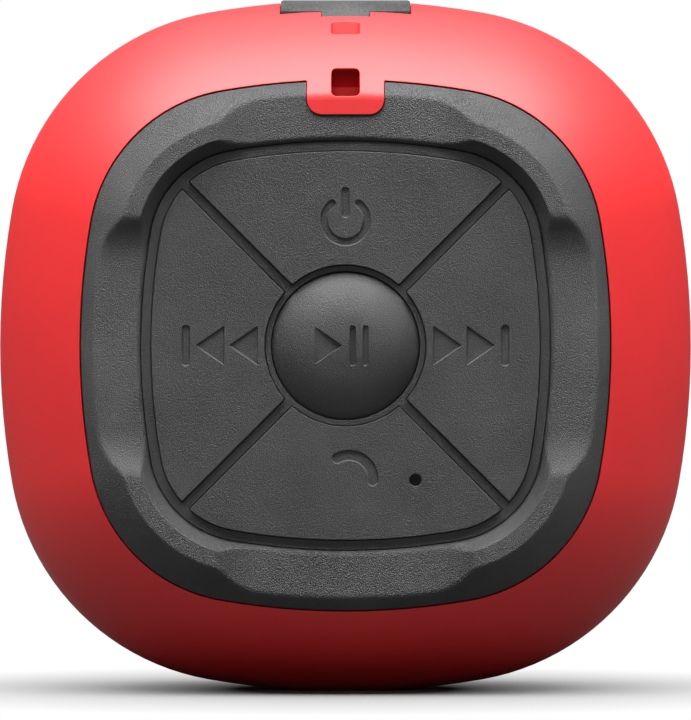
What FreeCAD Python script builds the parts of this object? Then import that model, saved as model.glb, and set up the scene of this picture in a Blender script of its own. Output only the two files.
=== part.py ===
"""A palm-sized wireless speaker, built as the pieces that it comes apart into.

Frame: millimetres, +Z up. The control face looks along -Y and the sound comes out along +Y.
The speaker stands on a small flat at its foot, and the origin is the middle of that flat's plane.
Every piece is drawn about the middle of the body and is lifted by FOOT_TO_MIDDLE when it is written.
"""
import FreeCAD
import Part
import math
import os

Vector = FreeCAD.Vector

# ---- body: a rounded square seen from the back, a rounded barrel seen from the side ----
HALF = 48.0              # half the width of the body at its fattest
DEPTH = 49.0             # control face ridge to grille
FOOT_CUT = 0.3           # how much the foot flat takes off the bottom
SIDE_ANGLE = 10.0        # each nearly straight side spans this angle on either side of its middle
SIDE_REACH = 62.04       # a side's arc is centred this far beyond the middle of the body
CROWN_RADIUS = 17.0      # barrel curve, fattest part
SHOULDER_RADIUS = 43.9   # barrel curve, from the crown to the seam
SLOPE_RADIUS = 39.1      # barrel curve, outer slope of the end frames
CROWN_TILT = 64.0        # surface tilt where crown meets shoulder, 90 at the fattest part
SEAM_TILT = 42.0         # surface tilt at the seam between the sleeve and the end frames
RIDGE_TILT = 34.0        # surface tilt where the outer slope would meet the ridge
RIDGE_SOFTENING = 0.3    # the slope stops this many degrees early, for the ridge's rounded edge

# ---- skins ----
SLEEVE_WALL = 1.8
HOUSING_WALL = 1.8
SKIN_GAP = 0.1           # between the sleeve and the housing, and round every seated insert
SEAM_GAP = 0.2
SPLIT_Y = 9.5            # plane where the two housing shells meet
GASKET_THICKNESS = 0.4
GASKET_WIDTH = 1.2

# ---- rear frame and keypad, stepped inwards from the seam ----
SLOPE_WIDTH = 4.3        # seam to ridge
RIDGE_WIDTH = 2.3
INNER_WALL_WIDTH = 1.7
CHANNEL_WIDTH = 1.5
POCKET_DEPTH = 1.8       # finger pockets, one in the middle of each side of the frame
POCKET_FLAT = 11.6       # half the length of a pocket's flat floor
POCKET_RAMP_RADIUS = 10.0
POCKET_RAMP_ANGLE = 30.0
POCKET_RAMP_END = 17.4   # half the length of a pocket at the ridge
KEY_BELOW_RIDGE = 1.7
CHANNEL_BELOW_KEY = 0.65
KEY_EDGE_FILLET = 0.3
KEY_CORNER_FILLET = 0.35
KEY_BODY = 2.3           # from a key's face to its underside
KEY_GAP = 0.1            # round each key, where it passes the webs
KEY_TRAVEL = 0.5
GROOVE_WIDTH = 1.48      # diagonal grooves between the four outer keys
KNOB_RADIUS = 10.05
KNOB_GROOVE = 0.95       # round the middle key
KNOB_CROWN_RADIUS = 34.0
KNOB_CROWN_REACH = 4.0
KNOB_RIM_TILT = 35.0
KNOB_RIM_FILLET = 0.3
MEMBRANE_FLANGE = 1.5    # how far the keypad's edge runs under the frame
MEMBRANE_FLANGE_THICKNESS = 1.2
BULKHEAD_BELOW_RIDGE = 4.7
BULKHEAD_THICKNESS = 1.8

# ---- signs sunk into the keys ----
ICON_DEPTH = 0.28
KNOB_ICON_DEPTH = 0.45   # from the top of the dome, whose flanks fall away
POWER_RING_OUTER = 3.36
POWER_RING_INNER = 2.5
POWER_RING_SPAN = (128.0, 412.0)
POWER_STEM = (0.45, 4.45)        # its two ends, above the ring's centre
POWER_STEM_HALF = 0.45
ARROW_HALF = 2.55        # skip arrows: half their height
ARROW_LENGTH = 3.7
ARROW_BASES = (12.0, 16.55)
BAR_REACH = 2.7          # half the height of the upright bars
SKIP_BAR_X = 21.7
SKIP_BAR_HALF = 0.46
HANDSET_CENTRE = (0.5, -18.1)
HANDSET_OUTER = 3.85
HANDSET_INNER = 2.55
HANDSET_SPAN = (-12.0, 124.0)
EARPIECE_OUTER = 3.95    # the heavier end pieces of the handset
EARPIECE_INNER = 1.75
EARPIECE_SPANS = ((-12.0, 16.0), (98.0, 126.0))
PLAY_BASE = -4.1
PLAY_TIP = -0.45
PLAY_HALF = 2.5
PAUSE_BARS = ((0.98, 0.39), (2.72, 0.37))    # (centre, half the width) of each

# ---- wrist-loop tongue, tunnel and port cover ----
TONGUE_HALF = 5.25
TONGUE_END_STEP = 4.8    # from the seam to the tongue's tip
TONGUE_CORNER = 2.0
TONGUE_PROUD = 0.2
LOOP_SLOT_HALF = 1.95
LOOP_BLOCK_WALL = 1.6    # beside and below the tunnel
LOOP_BRIDGE = 1.9        # what the loop's cord pulls on
LOOP_TUNNEL_DEPTH = 3.6
LOWER_SLOT_STEP = 2.3    # from the seam in to the lower slot's end
LOWER_SLOT_HEIGHT = 3.9
UPPER_SLOT = (55.0, 59.4)  # tilts between which the upper slot is open
LOWER_REACH = (32.0, 47.0)  # tilts that take in the whole of the lower slot
COVER_HALF = 8.95
COVER_REAR = -8.0
COVER_FRONT = 3.0        # hinge line
COVER_WALL = 1.7
COVER_PROUD = 0.05
COVER_GAP = 0.15
COVER_UNDERCUT = 0.5     # the free end leans in under itself, so that it swings out clear
COVER_TAB_HALF = 3.3
COVER_TAB_REACH = 1.4
HINGE_GAP = 0.28
PLUG_LENGTH = 0.9
PLUG_PLAY = 0.45
ANCHOR_LENGTH = 4.4
ANCHOR_HALF = 6.4
ANCHOR_WALL = 1.2

# ---- electronics ----
POST_RADIUS = 1.5        # key posts that reach through the bulkhead to the switches
POST_PLAY = 0.5
KEY_POST_RADIUS = 17.0   # where the outer keys' switches sit
SWITCH_SIDE = 6.0
SWITCH_HEIGHT = 2.4
PLUNGER_RADIUS = 1.7
PLUNGER_PLAY = 0.08
PLUNGER_PROUD = 0.8
PLUNGER_FLOOR = 0.9      # height of the switch floor over the board
BOARD_THICKNESS = 1.6
BOARD_STANDOFF = 4.0     # from the bulkhead to the control board
CONTROL_BOARD_HALF = 25.0
CONTROL_SCREW_OFFSET = 16.0
MIC_X = 9.5
MIC_Z = -18.3
MIC_HOLE_RADIUS = 0.8
MIC_RADIUS = 2.0
MIC_HEIGHT = 1.5
BOOT_WALL = 1.2
MAIN_BOARD_Y = -0.6      # its rear face, which carries the sockets
MAIN_BOARD_HALF = 19.0
MAIN_BOARD_HEIGHT = 21.0
MAIN_BOARD_BELOW_SKIN = 7.5
MAIN_SCREW_X = 15.0
MAIN_SCREW_BELOW_TOP = 10.5
USB_X = 4.3
USB_WIDTH = 7.5
USB_HEIGHT = 2.7
USB_LENGTH = 5.5
USB_SHELL = 0.3
USB_BACK = 1.0           # thickness of the block behind the contacts
USB_TONGUE_HALF = 2.6
USB_TONGUE = (1.3, 0.7)  # its two faces, under the board's face
USB_TONGUE_BELOW = 1.6   # its tip, under the socket's mouth
JACK_X = -4.6
JACK_BODY = 6.2
JACK_HEIGHT = 5.2
JACK_BORE_RADIUS = 1.8
JACK_BORE_LENGTH = 11.0  # with the lead-in
JACK_LENGTH = 12.5
JACK_LEAD_IN = 1.2       # depth of the wider mouth that the cover's plug sits in
JACK_LEAD_IN_RADIUS = 2.2
JACK_BLOCK_BELOW = 3.2   # the moulded block's top, under the housing's inner face
MOUTH_STEP = 1.2         # the sockets' mouths, under the sleeve's inner face
BATTERY_WIDTH = 47.0
BATTERY_HEIGHT = 33.0
BATTERY_THICKNESS = 5.2
BATTERY_MID_Z = -2.0
BATTERY_FILLET = 1.6
TRAY_GAP = 0.3           # round the battery
TRAY_WALL = 1.0
TRAY_HEIGHT = 3.0
BRACKET_THICKNESS = 1.0
BRACKET_CLEAR = 1.4      # between the control board and the bracket, for screw heads
BRACKET_POST_X = 29.5
RADIO_PLACE = (13.2, 3.6)        # x, and height over the main board's lower edge
RADIO_SIZE = (10.5, 6.5, 2.0)
AMPLIFIER_PLACE = (-12.0, 5.1)
AMPLIFIER_SIZE = (5.0, 5.0, 0.9)
INDUCTOR_PLACES = ((-6.0, 2.6), (-17.0, 4.0))
INDUCTOR_SIZE = (3.6, 3.6, 2.8)
CAPACITOR_X = 11.5
CAPACITOR_RADIUS = 2.0
CAPACITOR_HEIGHT = 5.4
CAPACITOR_OVER_SCREW = 5.0
RIBBON_OVER_EDGE = 1.6   # over the main board's lower edge
RIBBON_X = 2.0
RIBBON_WIDTH = 8.0
RIBBON_THICKNESS = 0.3
CONNECTOR_HEIGHT = 1.4
CONNECTOR_MARGIN = 0.8   # beside the ribbon
CONNECTOR_HALF = 1.2     # over and under the ribbon
WIRE_RADIUS = 0.6
WIRE_BEND = 1.5
BATTERY_LEADS_X = (-14.0, -12.4)
BATTERY_LEAD_DEPTH = 1.0         # under the battery's front face
BATTERY_LEAD_OVER_EDGE = 1.0
SPEAKER_LEADS_X = (-2.5, 2.5)
SPEAKER_LEAD_OVER_EDGE = 5.0

# ---- loudspeaker ----
FLANGE_WIDTH = 5.9       # the basket's wall to the flange's edge
FLANGE_THICKNESS = 1.2
FLANGE_HOLE_INSET = 2.4  # the flange's edge in to its screws
DRIVER_SEAT_BELOW_GRILLE = 9.0   # the baffle's front face, under the grille's top
BAFFLE_THICKNESS = 2.5
FOAM_THICKNESS = 0.5
BASKET_RADIUS = 22.7
BASKET_WALL = 1.2
BASKET_DEPTH = 12.6
BASKET_FOOT_INSET = 7.2  # the basket's wall in to the edge of its foot ring
BASKET_GAP = 0.4
BASKET_STRAIGHT = 1.0    # the wall stays upright this far under the baffle's face
WINDOW_HALF = 4.5
WINDOW_OVER_FOOT = 2.0
WINDOW_UNDER_BAFFLE = 1.0
TERMINAL_HALF = 5.0
TERMINAL_RISE = 4.0      # over the basket's foot
TERMINAL_REACH = 4.6     # out from the foot ring
TERMINAL_THICKNESS = 1.0
TERMINAL_BACK = 2.5
TERMINAL_FRONT = 1.2
LUG_HALF_THICKNESS = 1.0
LUG_CLEAR = 0.6          # between the lug and the foot ring, where the wall is
COIL_RADIUS = 10.0
FORMER_WALL = 0.2
WINDING_WALL = 0.35
POLE_CLEAR = 0.4
YOKE_CLEAR = 0.6
YOKE_WALL = 1.6
MOTOR_DEPTH = 6.6
MAGNET_STEP = 0.4        # the magnet is this much smaller than the pole piece
POLE_THICKNESS = 1.8
COIL_FLOOR_CLEAR = 0.6   # left under the coil at the end of its travel
WINDING_LENGTH = 3.2
NECK_RISE = 6.6          # cone's neck, over the basket's foot
FORMER_PROUD = 0.8       # past the cone's neck
CONE_EDGE_INSET = 3.5    # the basket's wall in to the cone's edge
CONE_THICKNESS = 0.5
CONE_NECK_THICKENING = 1.3
CONE_RIM = 1.2
CONE_RIM_BEVEL = 0.2
ROLL_THICKNESS = 0.4
ROLL_START = 0.05        # past the cone's edge
ROLL_INSIDE_WALL = 0.5
ROLL_FLANGE = 1.4        # past the basket's wall
CONE_TRAVEL = 1.5
DUST_CAP_RISE = 3.2
DUST_CAP_WALL = 0.4
SPIDER_WAVES = 3
SPIDER_RIM = 1.2
SPIDER_THICKNESS = 0.25
SPIDER_NECK_RISE = 0.9
SPIDER_LEVELS = (0.3, 1.0)       # bottoms and tops of the waves

# ---- front ----
GRILLE_STEP = 3.0        # seam to the grille's edge
GRILLE_WALL = 0.5
GRILLE_EDGE_RADIUS = 3.0
GRILLE_HOLE_RADIUS = 1.1
GRILLE_PITCH = 3.4
GRILLE_MARGIN = 4.6      # from the grille's edge to where holes may start
CLOTH_THICKNESS = 0.3
BEZEL_GAP = 0.2

# ---- fasteners ----
THREAD_LENGTH = 5.0      # of a small screw, in its boss
THREAD_ROOM = 0.2        # left under a screw's tip
HOLE_GAP = 0.1           # round a screw where it passes a board or a wall
FLANGE_HOLE_GAP = 0.15
SLOT_REACH = 0.62        # share of a screw's head that its cross slots span
SLOT_DEPTH = 0.5
SLOT_HALF = 0.25
SCREW_RADIUS = 1.0       # small screws
SCREW_HEAD_RADIUS = 1.9
SCREW_HEAD_HEIGHT = 1.1
CASE_SCREW_RADIUS = 1.3
CASE_SCREW_HEAD_RADIUS = 2.4
CASE_SCREW_HEAD_HEIGHT = 1.6
CASE_SCREW_LENGTH = 16.0
BOSS_WALL = 1.7

# ---- sizes that follow from the ones above ----
FOOT_TO_MIDDLE = HALF - FOOT_CUT
RIDGE_Y = -DEPTH / 2
Y_AXIS = Vector(0, 1, 0)
TURN_AXIS = Vector(0, -1, 0)     # turns +X towards +Z
EPS = 0.01


def sin(degrees):
    return math.sin(math.radians(degrees))


def cos(degrees):
    return math.cos(math.radians(degrees))


CORNER_LOSS = SIDE_REACH * (1 + sin(SIDE_ANGLE) - cos(SIDE_ANGLE)) / (cos(SIDE_ANGLE) - sin(SIDE_ANGLE))
CORNER_CENTRE = (SIDE_REACH + CORNER_LOSS) * sin(SIDE_ANGLE)


# ================= shapes that the whole body shares =================

def round_point(tilt, inset):
    """Point (half-width, y) of the barrel curve without its belt, where the surface has this tilt below 90."""
    centre_h = HALF - CROWN_RADIUS
    centre_y = 0.0
    radius = CROWN_RADIUS
    if tilt < CROWN_TILT:
        centre_h += (radius - SHOULDER_RADIUS) * sin(CROWN_TILT)
        centre_y -= (radius - SHOULDER_RADIUS) * cos(CROWN_TILT)
        radius = SHOULDER_RADIUS
    if tilt < SEAM_TILT:
        centre_h += (radius - SLOPE_RADIUS) * sin(SEAM_TILT)
        centre_y -= (radius - SLOPE_RADIUS) * cos(SEAM_TILT)
        radius = SLOPE_RADIUS
    return centre_h + (radius - inset) * sin(tilt), centre_y - (radius - inset) * cos(tilt)


HALF_BELT = round_point(RIDGE_TILT, 0.0)[1] - RIDGE_Y    # half the straight belt round the fattest part


def skin_point(tilt, inset=0.0):
    """Point of the barrel curve, belt included, inset along its normal. Tilts over 90 lie in front."""
    if tilt > 90:
        point_h, point_y = round_point(180 - tilt, inset)
        return point_h, HALF_BELT - point_y
    point_h, point_y = round_point(tilt, inset)
    return point_h, point_y - HALF_BELT


SEAM_HALF, SEAM_Y = skin_point(SEAM_TILT)
RIDGE_OUTER = SEAM_HALF - SLOPE_WIDTH
RIDGE_INNER = RIDGE_OUTER - RIDGE_WIDTH
CHANNEL_OUTER = RIDGE_INNER - INNER_WALL_WIDTH
PAD_HALF = CHANNEL_OUTER - CHANNEL_WIDTH
KEY_Y = RIDGE_Y + KEY_BELOW_RIDGE
CHANNEL_Y = KEY_Y + CHANNEL_BELOW_KEY
KEY_UNDER_Y = KEY_Y + KEY_BODY
BULKHEAD_Y = RIDGE_Y + BULKHEAD_BELOW_RIDGE
BULKHEAD_BACK = BULKHEAD_Y + BULKHEAD_THICKNESS
HOUSING_INSET = SLEEVE_WALL + SKIN_GAP
INNER_INSET = HOUSING_INSET + HOUSING_WALL
BOARD_Y = BULKHEAD_BACK + BOARD_STANDOFF
BOARD_BACK = BOARD_Y + BOARD_THICKNESS
SWITCH_TOP_Y = BOARD_Y - SWITCH_HEIGHT
POST_END_Y = SWITCH_TOP_Y - PLUNGER_PROUD
BRACKET_Y = BOARD_BACK + BRACKET_CLEAR
BATTERY_Y = BRACKET_Y + BRACKET_THICKNESS
GRILLE_Y = DEPTH / 2
BAFFLE_Y = GRILLE_Y - DRIVER_SEAT_BELOW_GRILLE
BAFFLE_BACK = BAFFLE_Y - BAFFLE_THICKNESS
FLANGE_Y = BAFFLE_Y + FOAM_THICKNESS
FLANGE_FRONT = FLANGE_Y + FLANGE_THICKNESS
BASKET_FOOT_Y = FLANGE_FRONT - BASKET_DEPTH - FLANGE_THICKNESS
FRONT_SEAT_Y = -BULKHEAD_Y
MAIN_BOARD_TOP = HALF - MAIN_BOARD_BELOW_SKIN
MAIN_BOARD_BOTTOM = MAIN_BOARD_TOP - MAIN_BOARD_HEIGHT
MAIN_SCREW_Z = MAIN_BOARD_TOP - MAIN_SCREW_BELOW_TOP
BOSS_RADIUS = SCREW_RADIUS + BOSS_WALL
CASE_BOSS_RADIUS = CASE_SCREW_RADIUS + BOSS_WALL
FLANGE_RADIUS = BASKET_RADIUS + FLANGE_WIDTH
FLANGE_HOLE_CIRCLE = FLANGE_RADIUS - FLANGE_HOLE_INSET
BASKET_FOOT_RADIUS = BASKET_RADIUS - BASKET_FOOT_INSET
CONE_EDGE_RADIUS = BASKET_RADIUS - CONE_EDGE_INSET
CASE_SCREW_OFFSET = (FLANGE_RADIUS + CASE_BOSS_RADIUS + 1.0) * cos(45)
DIAGONALS = [(1, 1), (-1, 1), (-1, -1), (1, -1)]
KEY_POSTS = {
    "power": (0.0, KEY_POST_RADIUS),
    "previous": (-KEY_POST_RADIUS, 0.0),
    "next": (KEY_POST_RADIUS, 0.0),
    "call": (0.0, -KEY_POST_RADIUS),
    "play_pause": (0.0, 0.0),
}


def skin_half_at(y, inset):
    """Half-width of the barrel curve, inset along its normal, where it crosses the plane Y = y."""
    low, high = SEAM_TILT, 180 - SEAM_TILT
    for _ in range(40):
        middle = (low + high) / 2
        if skin_point(middle, inset)[1] < y:
            low = middle
        else:
            high = middle
    return skin_point(low, inset)[0]


def box(x0, x1, y0, y1, z0, z1):
    return Part.makeBox(x1 - x0, y1 - y0, z1 - z0, Vector(x0, y0, z0))


def cylinder(radius, y0, y1, x=0.0, z=0.0):
    """Cylinder along Y."""
    return Part.makeCylinder(radius, y1 - y0, Vector(x, y0, z), Y_AXIS)


def tube(outer, inner, y0, y1, x=0.0, z=0.0):
    return cylinder(outer, y0, y1, x, z).cut(cylinder(inner, y0 - 1, y1 + 1, x, z))


def arc(first, middle, last):
    return Part.Arc(first, middle, last).toShape()


def line(first, last):
    return Part.LineSegment(first, last).toShape()


def fuse(shapes):
    shapes = list(shapes)
    joined = shapes[0].multiFuse(shapes[1:]) if len(shapes) > 1 else shapes[0]
    return joined.removeSplitter()


def squircle_wire(half, y):
    """Outline of the body's family at this half-width: four shallow sides joined by four corner arcs."""
    side_radius = SIDE_REACH + half
    corner_radius = half - CORNER_LOSS

    def on_side(angle):
        return Vector(side_radius * cos(angle) - SIDE_REACH, y, side_radius * sin(angle))

    def on_corner(angle):
        return Vector(CORNER_CENTRE + corner_radius * cos(angle), y, CORNER_CENTRE + corner_radius * sin(angle))

    quarter = [
        arc(on_side(-SIDE_ANGLE), on_side(0), on_side(SIDE_ANGLE)),
        arc(on_corner(SIDE_ANGLE), on_corner(45), on_corner(90 - SIDE_ANGLE)),
    ]
    edges = []
    for turn in range(4):
        for edge in quarter:
            turned = edge.copy()
            turned.rotate(Vector(0, 0, 0), TURN_AXIS, 90 * turn)
            edges.append(turned)
    return Part.Wire(Part.__sortEdges__(edges))


def squircle_plate(half, y0, y1):
    return Part.Face(squircle_wire(half, y0)).extrude(Vector(0, y1 - y0, 0))


def squircle_ring(outer, inner, y0, y1):
    return squircle_plate(outer, y0, y1).cut(squircle_plate(inner, y0 - 1, y1 + 1))


def swept_round(wire):
    """Carry a closed (half-width, y) wire, drawn in the XY plane, all the way round the body."""
    face = Part.Face(wire)
    side = face.copy()
    side.rotate(Vector(-SIDE_REACH, 0, 0), TURN_AXIS, -SIDE_ANGLE)
    side = side.revolve(Vector(-SIDE_REACH, 0, 0), TURN_AXIS, 2 * SIDE_ANGLE)
    corner = face.copy()
    corner.translate(Vector(CORNER_CENTRE - CORNER_LOSS, 0, CORNER_CENTRE))
    corner.rotate(Vector(CORNER_CENTRE, 0, CORNER_CENTRE), TURN_AXIS, SIDE_ANGLE)
    corner = corner.revolve(Vector(CORNER_CENTRE, 0, CORNER_CENTRE), TURN_AXIS, 90 - 2 * SIDE_ANGLE)
    pieces = []
    for turn in range(4):
        for piece in (side, corner):
            turned = piece.copy()
            turned.rotate(Vector(0, 0, 0), TURN_AXIS, 90 * turn)
            pieces.append(turned)
    return fuse(pieces)


def spun(wire, x=0.0, z=0.0):
    """Turn a closed (radius, y) wire, drawn in the XY plane, about a Y axis through (x, z)."""
    solid = Part.Face(wire).revolve(Vector(0, 0, 0), TURN_AXIS, 360)
    solid.translate(Vector(x, 0, z))
    return solid


def polygon(points):
    """Closed wire of straight edges through (half-width or radius, y) points."""
    corners = [Vector(h, y, 0) for h, y in points]
    return Part.makePolygon(corners + corners[:1])


def skin_arc(tilt0, tilt1, inset):
    tilts = (tilt0, (tilt0 + tilt1) / 2, tilt1)
    return arc(*[Vector(*skin_point(tilt, inset), 0) for tilt in tilts])


def skin_band(outer_inset, inner_inset):
    """Wall of the barrel between two insets, from seam to seam."""
    stations = [SEAM_TILT, CROWN_TILT, 90 - EPS, 90 + EPS, 180 - CROWN_TILT, 180 - SEAM_TILT]
    outer = [Vector(*skin_point(tilt, outer_inset), 0) for tilt in stations]
    inner = [Vector(*skin_point(tilt, inner_inset), 0) for tilt in stations]
    edges = []
    for inset, ends in ((outer_inset, outer), (inner_inset, inner)):
        edges += [
            skin_arc(SEAM_TILT, CROWN_TILT, inset),
            skin_arc(CROWN_TILT, 90 - EPS, inset),
            line(ends[2], ends[3]),
            skin_arc(90 + EPS, 180 - CROWN_TILT, inset),
            skin_arc(180 - CROWN_TILT, 180 - SEAM_TILT, inset),
        ]
    edges += [line(outer[0], inner[0]), line(outer[-1], inner[-1])]
    return swept_round(Part.Wire(Part.__sortEdges__(edges)))


def across(wire, half_width):
    """Extrude a (height, y) wire, drawn in the XY plane, along X and stand it at the top of the body."""
    solid = Part.Face(wire).extrude(Vector(0, 0, 2 * half_width))
    solid.translate(Vector(0, 0, -half_width))
    solid.rotate(Vector(0, 0, 0), Y_AXIS, -90)
    return solid


def shoulder_sector(tilt0, tilt1, depth0, depth1, half_width):
    """Piece of the top shoulder between two tilts and two depths under the skin, centred on X = 0."""
    def at(tilt, depth):
        low_h, low_y = skin_point(SEAM_TILT)
        centre_h = low_h - SHOULDER_RADIUS * sin(SEAM_TILT)
        centre_y = low_y + SHOULDER_RADIUS * cos(SEAM_TILT)
        reach = SHOULDER_RADIUS - depth
        return Vector(centre_h + reach * sin(tilt), centre_y - reach * cos(tilt), 0)

    middle = (tilt0 + tilt1) / 2
    wire = Part.Wire([
        arc(at(tilt0, depth0), at(middle, depth0), at(tilt1, depth0)),
        line(at(tilt1, depth0), at(tilt1, depth1)),
        arc(at(tilt1, depth1), at(middle, depth1), at(tilt0, depth1)),
        line(at(tilt0, depth1), at(tilt0, depth0)),
    ])
    return across(wire, half_width)


def rounded_bar(half, bottom, top, corner, y0, y1):
    """Upright strip centred on X = 0 with its two bottom corners rounded."""
    slant = corner * (1 - cos(45))
    wire = Part.Wire([
        line(Vector(-half, y0, top), Vector(-half, y0, bottom + corner)),
        arc(Vector(-half, y0, bottom + corner), Vector(-half + slant, y0, bottom + slant),
            Vector(-half + corner, y0, bottom)),
        line(Vector(-half + corner, y0, bottom), Vector(half - corner, y0, bottom)),
        arc(Vector(half - corner, y0, bottom), Vector(half - slant, y0, bottom + slant),
            Vector(half, y0, bottom + corner)),
        line(Vector(half, y0, bottom + corner), Vector(half, y0, top)),
        line(Vector(half, y0, top), Vector(-half, y0, top)),
    ])
    return Part.Face(wire).extrude(Vector(0, y1 - y0, 0))


def turned_about_y(shape, degrees):
    turned = shape.copy()
    turned.rotate(Vector(0, 0, 0), TURN_AXIS, degrees)
    return turned


# ================= outer skins =================

def end_slope_wire(gap, ridge_inner, tail):
    """Closed (half-width, y) wire of an end frame: outer slope, rounded ridge, then the tail points."""
    soft_tilt = RIDGE_TILT + RIDGE_SOFTENING
    seam_tilt = SEAM_TILT - math.degrees(gap / SLOPE_RADIUS)
    soft_h, soft_y = skin_point(soft_tilt)
    radius = (soft_y - RIDGE_Y) / (1 - cos(soft_tilt))
    start = Vector(*skin_point(seam_tilt), 0)
    soft = Vector(soft_h, soft_y, 0)
    crest = Vector(soft_h - radius * sin(soft_tilt), RIDGE_Y, 0)
    half_tilt = soft_tilt / 2
    bend = Vector(crest.x + radius * sin(half_tilt), RIDGE_Y + radius * (1 - cos(half_tilt)), 0)
    slope_middle = Vector(*skin_point((seam_tilt + soft_tilt) / 2), 0)
    corners = [crest, Vector(ridge_inner, RIDGE_Y, 0)] + [Vector(h, y, 0) for h, y in tail]
    edges = [arc(start, slope_middle, soft), arc(soft, bend, crest)]
    edges += [line(first, last) for first, last in zip(corners, corners[1:])]
    edges.append(line(corners[-1], start))
    return Part.Wire(edges)


def pocket_cutter():
    """Finger pocket at the top of the frame: flat floor, then a concave ramp up to the ridge at each end."""
    floor_y = RIDGE_Y + POCKET_DEPTH
    bend_x = POCKET_FLAT + POCKET_RAMP_RADIUS * sin(POCKET_RAMP_ANGLE)
    bend_y = floor_y - POCKET_RAMP_RADIUS * (1 - cos(POCKET_RAMP_ANGLE))
    half_x = POCKET_FLAT + POCKET_RAMP_RADIUS * sin(POCKET_RAMP_ANGLE / 2)
    half_y = floor_y - POCKET_RAMP_RADIUS * (1 - cos(POCKET_RAMP_ANGLE / 2))
    above_y = RIDGE_Y - 1
    above_x = POCKET_RAMP_END + (POCKET_RAMP_END - bend_x) / (bend_y - RIDGE_Y)
    low = PAD_HALF

    def at(x, y):
        return Vector(x, y, low)

    wire = Part.Wire([
        line(at(-POCKET_FLAT, floor_y), at(POCKET_FLAT, floor_y)),
        arc(at(POCKET_FLAT, floor_y), at(half_x, half_y), at(bend_x, bend_y)),
        line(at(bend_x, bend_y), at(above_x, above_y)),
        line(at(above_x, above_y), at(-above_x, above_y)),
        line(at(-above_x, above_y), at(-bend_x, bend_y)),
        arc(at(-bend_x, bend_y), at(-half_x, half_y), at(-POCKET_FLAT, floor_y)),
    ])
    return Part.Face(wire).extrude(Vector(0, 0, SEAM_HALF - low + 2))


def tongue_blank(grow, y0):
    """Strip that the wrist-loop tongue fills, grown by a gap where it is the frame's notch."""
    bottom = SEAM_HALF - TONGUE_END_STEP - grow
    return rounded_bar(TONGUE_HALF + grow, bottom, SEAM_HALF + 1.5, TONGUE_CORNER + grow, y0, BULKHEAD_Y)


def end_base_half():
    """Half-width of an end frame where it seats on the housing."""
    base_inset = (BULKHEAD_Y - SEAM_Y) / cos(SEAM_TILT)
    return SEAM_HALF - base_inset * sin(SEAM_TILT) - SEAM_GAP


def make_rear_frame():
    lip_y = BULKHEAD_Y - MEMBRANE_FLANGE_THICKNESS
    shelf = CHANNEL_OUTER + MEMBRANE_FLANGE + SKIN_GAP
    wire = end_slope_wire(SEAM_GAP, RIDGE_INNER, [
        (CHANNEL_OUTER, CHANNEL_Y - 0.1),
        (CHANNEL_OUTER, lip_y),
        (shelf, lip_y),
        (shelf, BULKHEAD_Y),
        (end_base_half(), BULKHEAD_Y),
    ])
    frame = swept_round(wire)
    for turn in range(4):
        frame = frame.cut(turned_about_y(pocket_cutter(), 90 * turn))
    return frame.cut(tongue_blank(SKIN_GAP, RIDGE_Y - 1))


def loop_tunnel():
    """Tunnel under the bridge, open at the two slots that a wrist loop passes through."""
    low = SEAM_HALF - LOWER_SLOT_STEP
    ahead = box(-HALF, HALF, -DEPTH, 0, low, HALF)
    lower = shoulder_sector(*LOWER_REACH, -1.2, LOOP_TUNNEL_DEPTH, LOOP_SLOT_HALF)
    lower = lower.common(box(-HALF, HALF, -DEPTH, 0, low, low + LOWER_SLOT_HEIGHT))
    upper = shoulder_sector(*UPPER_SLOT, -1.2, LOOP_TUNNEL_DEPTH, LOOP_SLOT_HALF)
    passage = shoulder_sector(LOWER_REACH[0], UPPER_SLOT[1], LOOP_BRIDGE, LOOP_TUNNEL_DEPTH, LOOP_SLOT_HALF)
    return fuse([lower, upper, passage.common(ahead)])


def loop_block(grow):
    """Thick part of the sleeve round the tunnel."""
    margin = math.degrees((LOOP_BLOCK_WALL + grow) / SHOULDER_RADIUS)
    block = shoulder_sector(LOWER_REACH[0], UPPER_SLOT[1] + margin, SLEEVE_WALL / 2,
                            LOOP_TUNNEL_DEPTH + LOOP_BLOCK_WALL + grow, LOOP_SLOT_HALF + LOOP_BLOCK_WALL + grow)
    return block.common(box(-HALF, HALF, -DEPTH, 0, SEAM_HALF - TONGUE_END_STEP - grow, HALF))


def slope_envelope():
    """Everything behind the outer slope, with the tongue's own step over a pocket floor."""
    step_y = RIDGE_Y + POCKET_DEPTH - TONGUE_PROUD
    wire = end_slope_wire(0.0, RIDGE_INNER - 6, [(RIDGE_INNER - 6, BULKHEAD_Y), (SEAM_HALF + 0.6, BULKHEAD_Y)])
    limit = box(-HALF, HALF, step_y, BULKHEAD_Y, 0, HALF)
    return swept_round(wire).common(limit)


def port_opening(grow):
    """Opening in the sleeve that the port cover fills."""
    return box(-COVER_HALF - grow, COVER_HALF + grow, COVER_REAR - grow, COVER_FRONT + COVER_WALL / 2 + HINGE_GAP,
               HALF - 8, HALF + 5)


def make_outer_sleeve():
    band = skin_band(0.0, SLEEVE_WALL)
    tongue = tongue_blank(0.0, RIDGE_Y - 1).common(slope_envelope())
    sleeve = fuse([band, tongue, loop_block(0.0)])
    sleeve = sleeve.cut(loop_tunnel())
    sleeve = sleeve.cut(port_opening(COVER_GAP))
    tab_notch = box(-COVER_TAB_HALF - COVER_GAP, COVER_TAB_HALF + COVER_GAP,
                    COVER_REAR - COVER_TAB_REACH - COVER_GAP, 0, HALF - 8, HALF + 5)
    sleeve = sleeve.cut(tab_notch)
    foot = box(-HALF, HALF, -DEPTH, DEPTH, -HALF - 5, -FOOT_TO_MIDDLE)
    return sleeve.cut(foot)


def housing_band():
    return skin_band(HOUSING_INSET, INNER_INSET)


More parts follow.
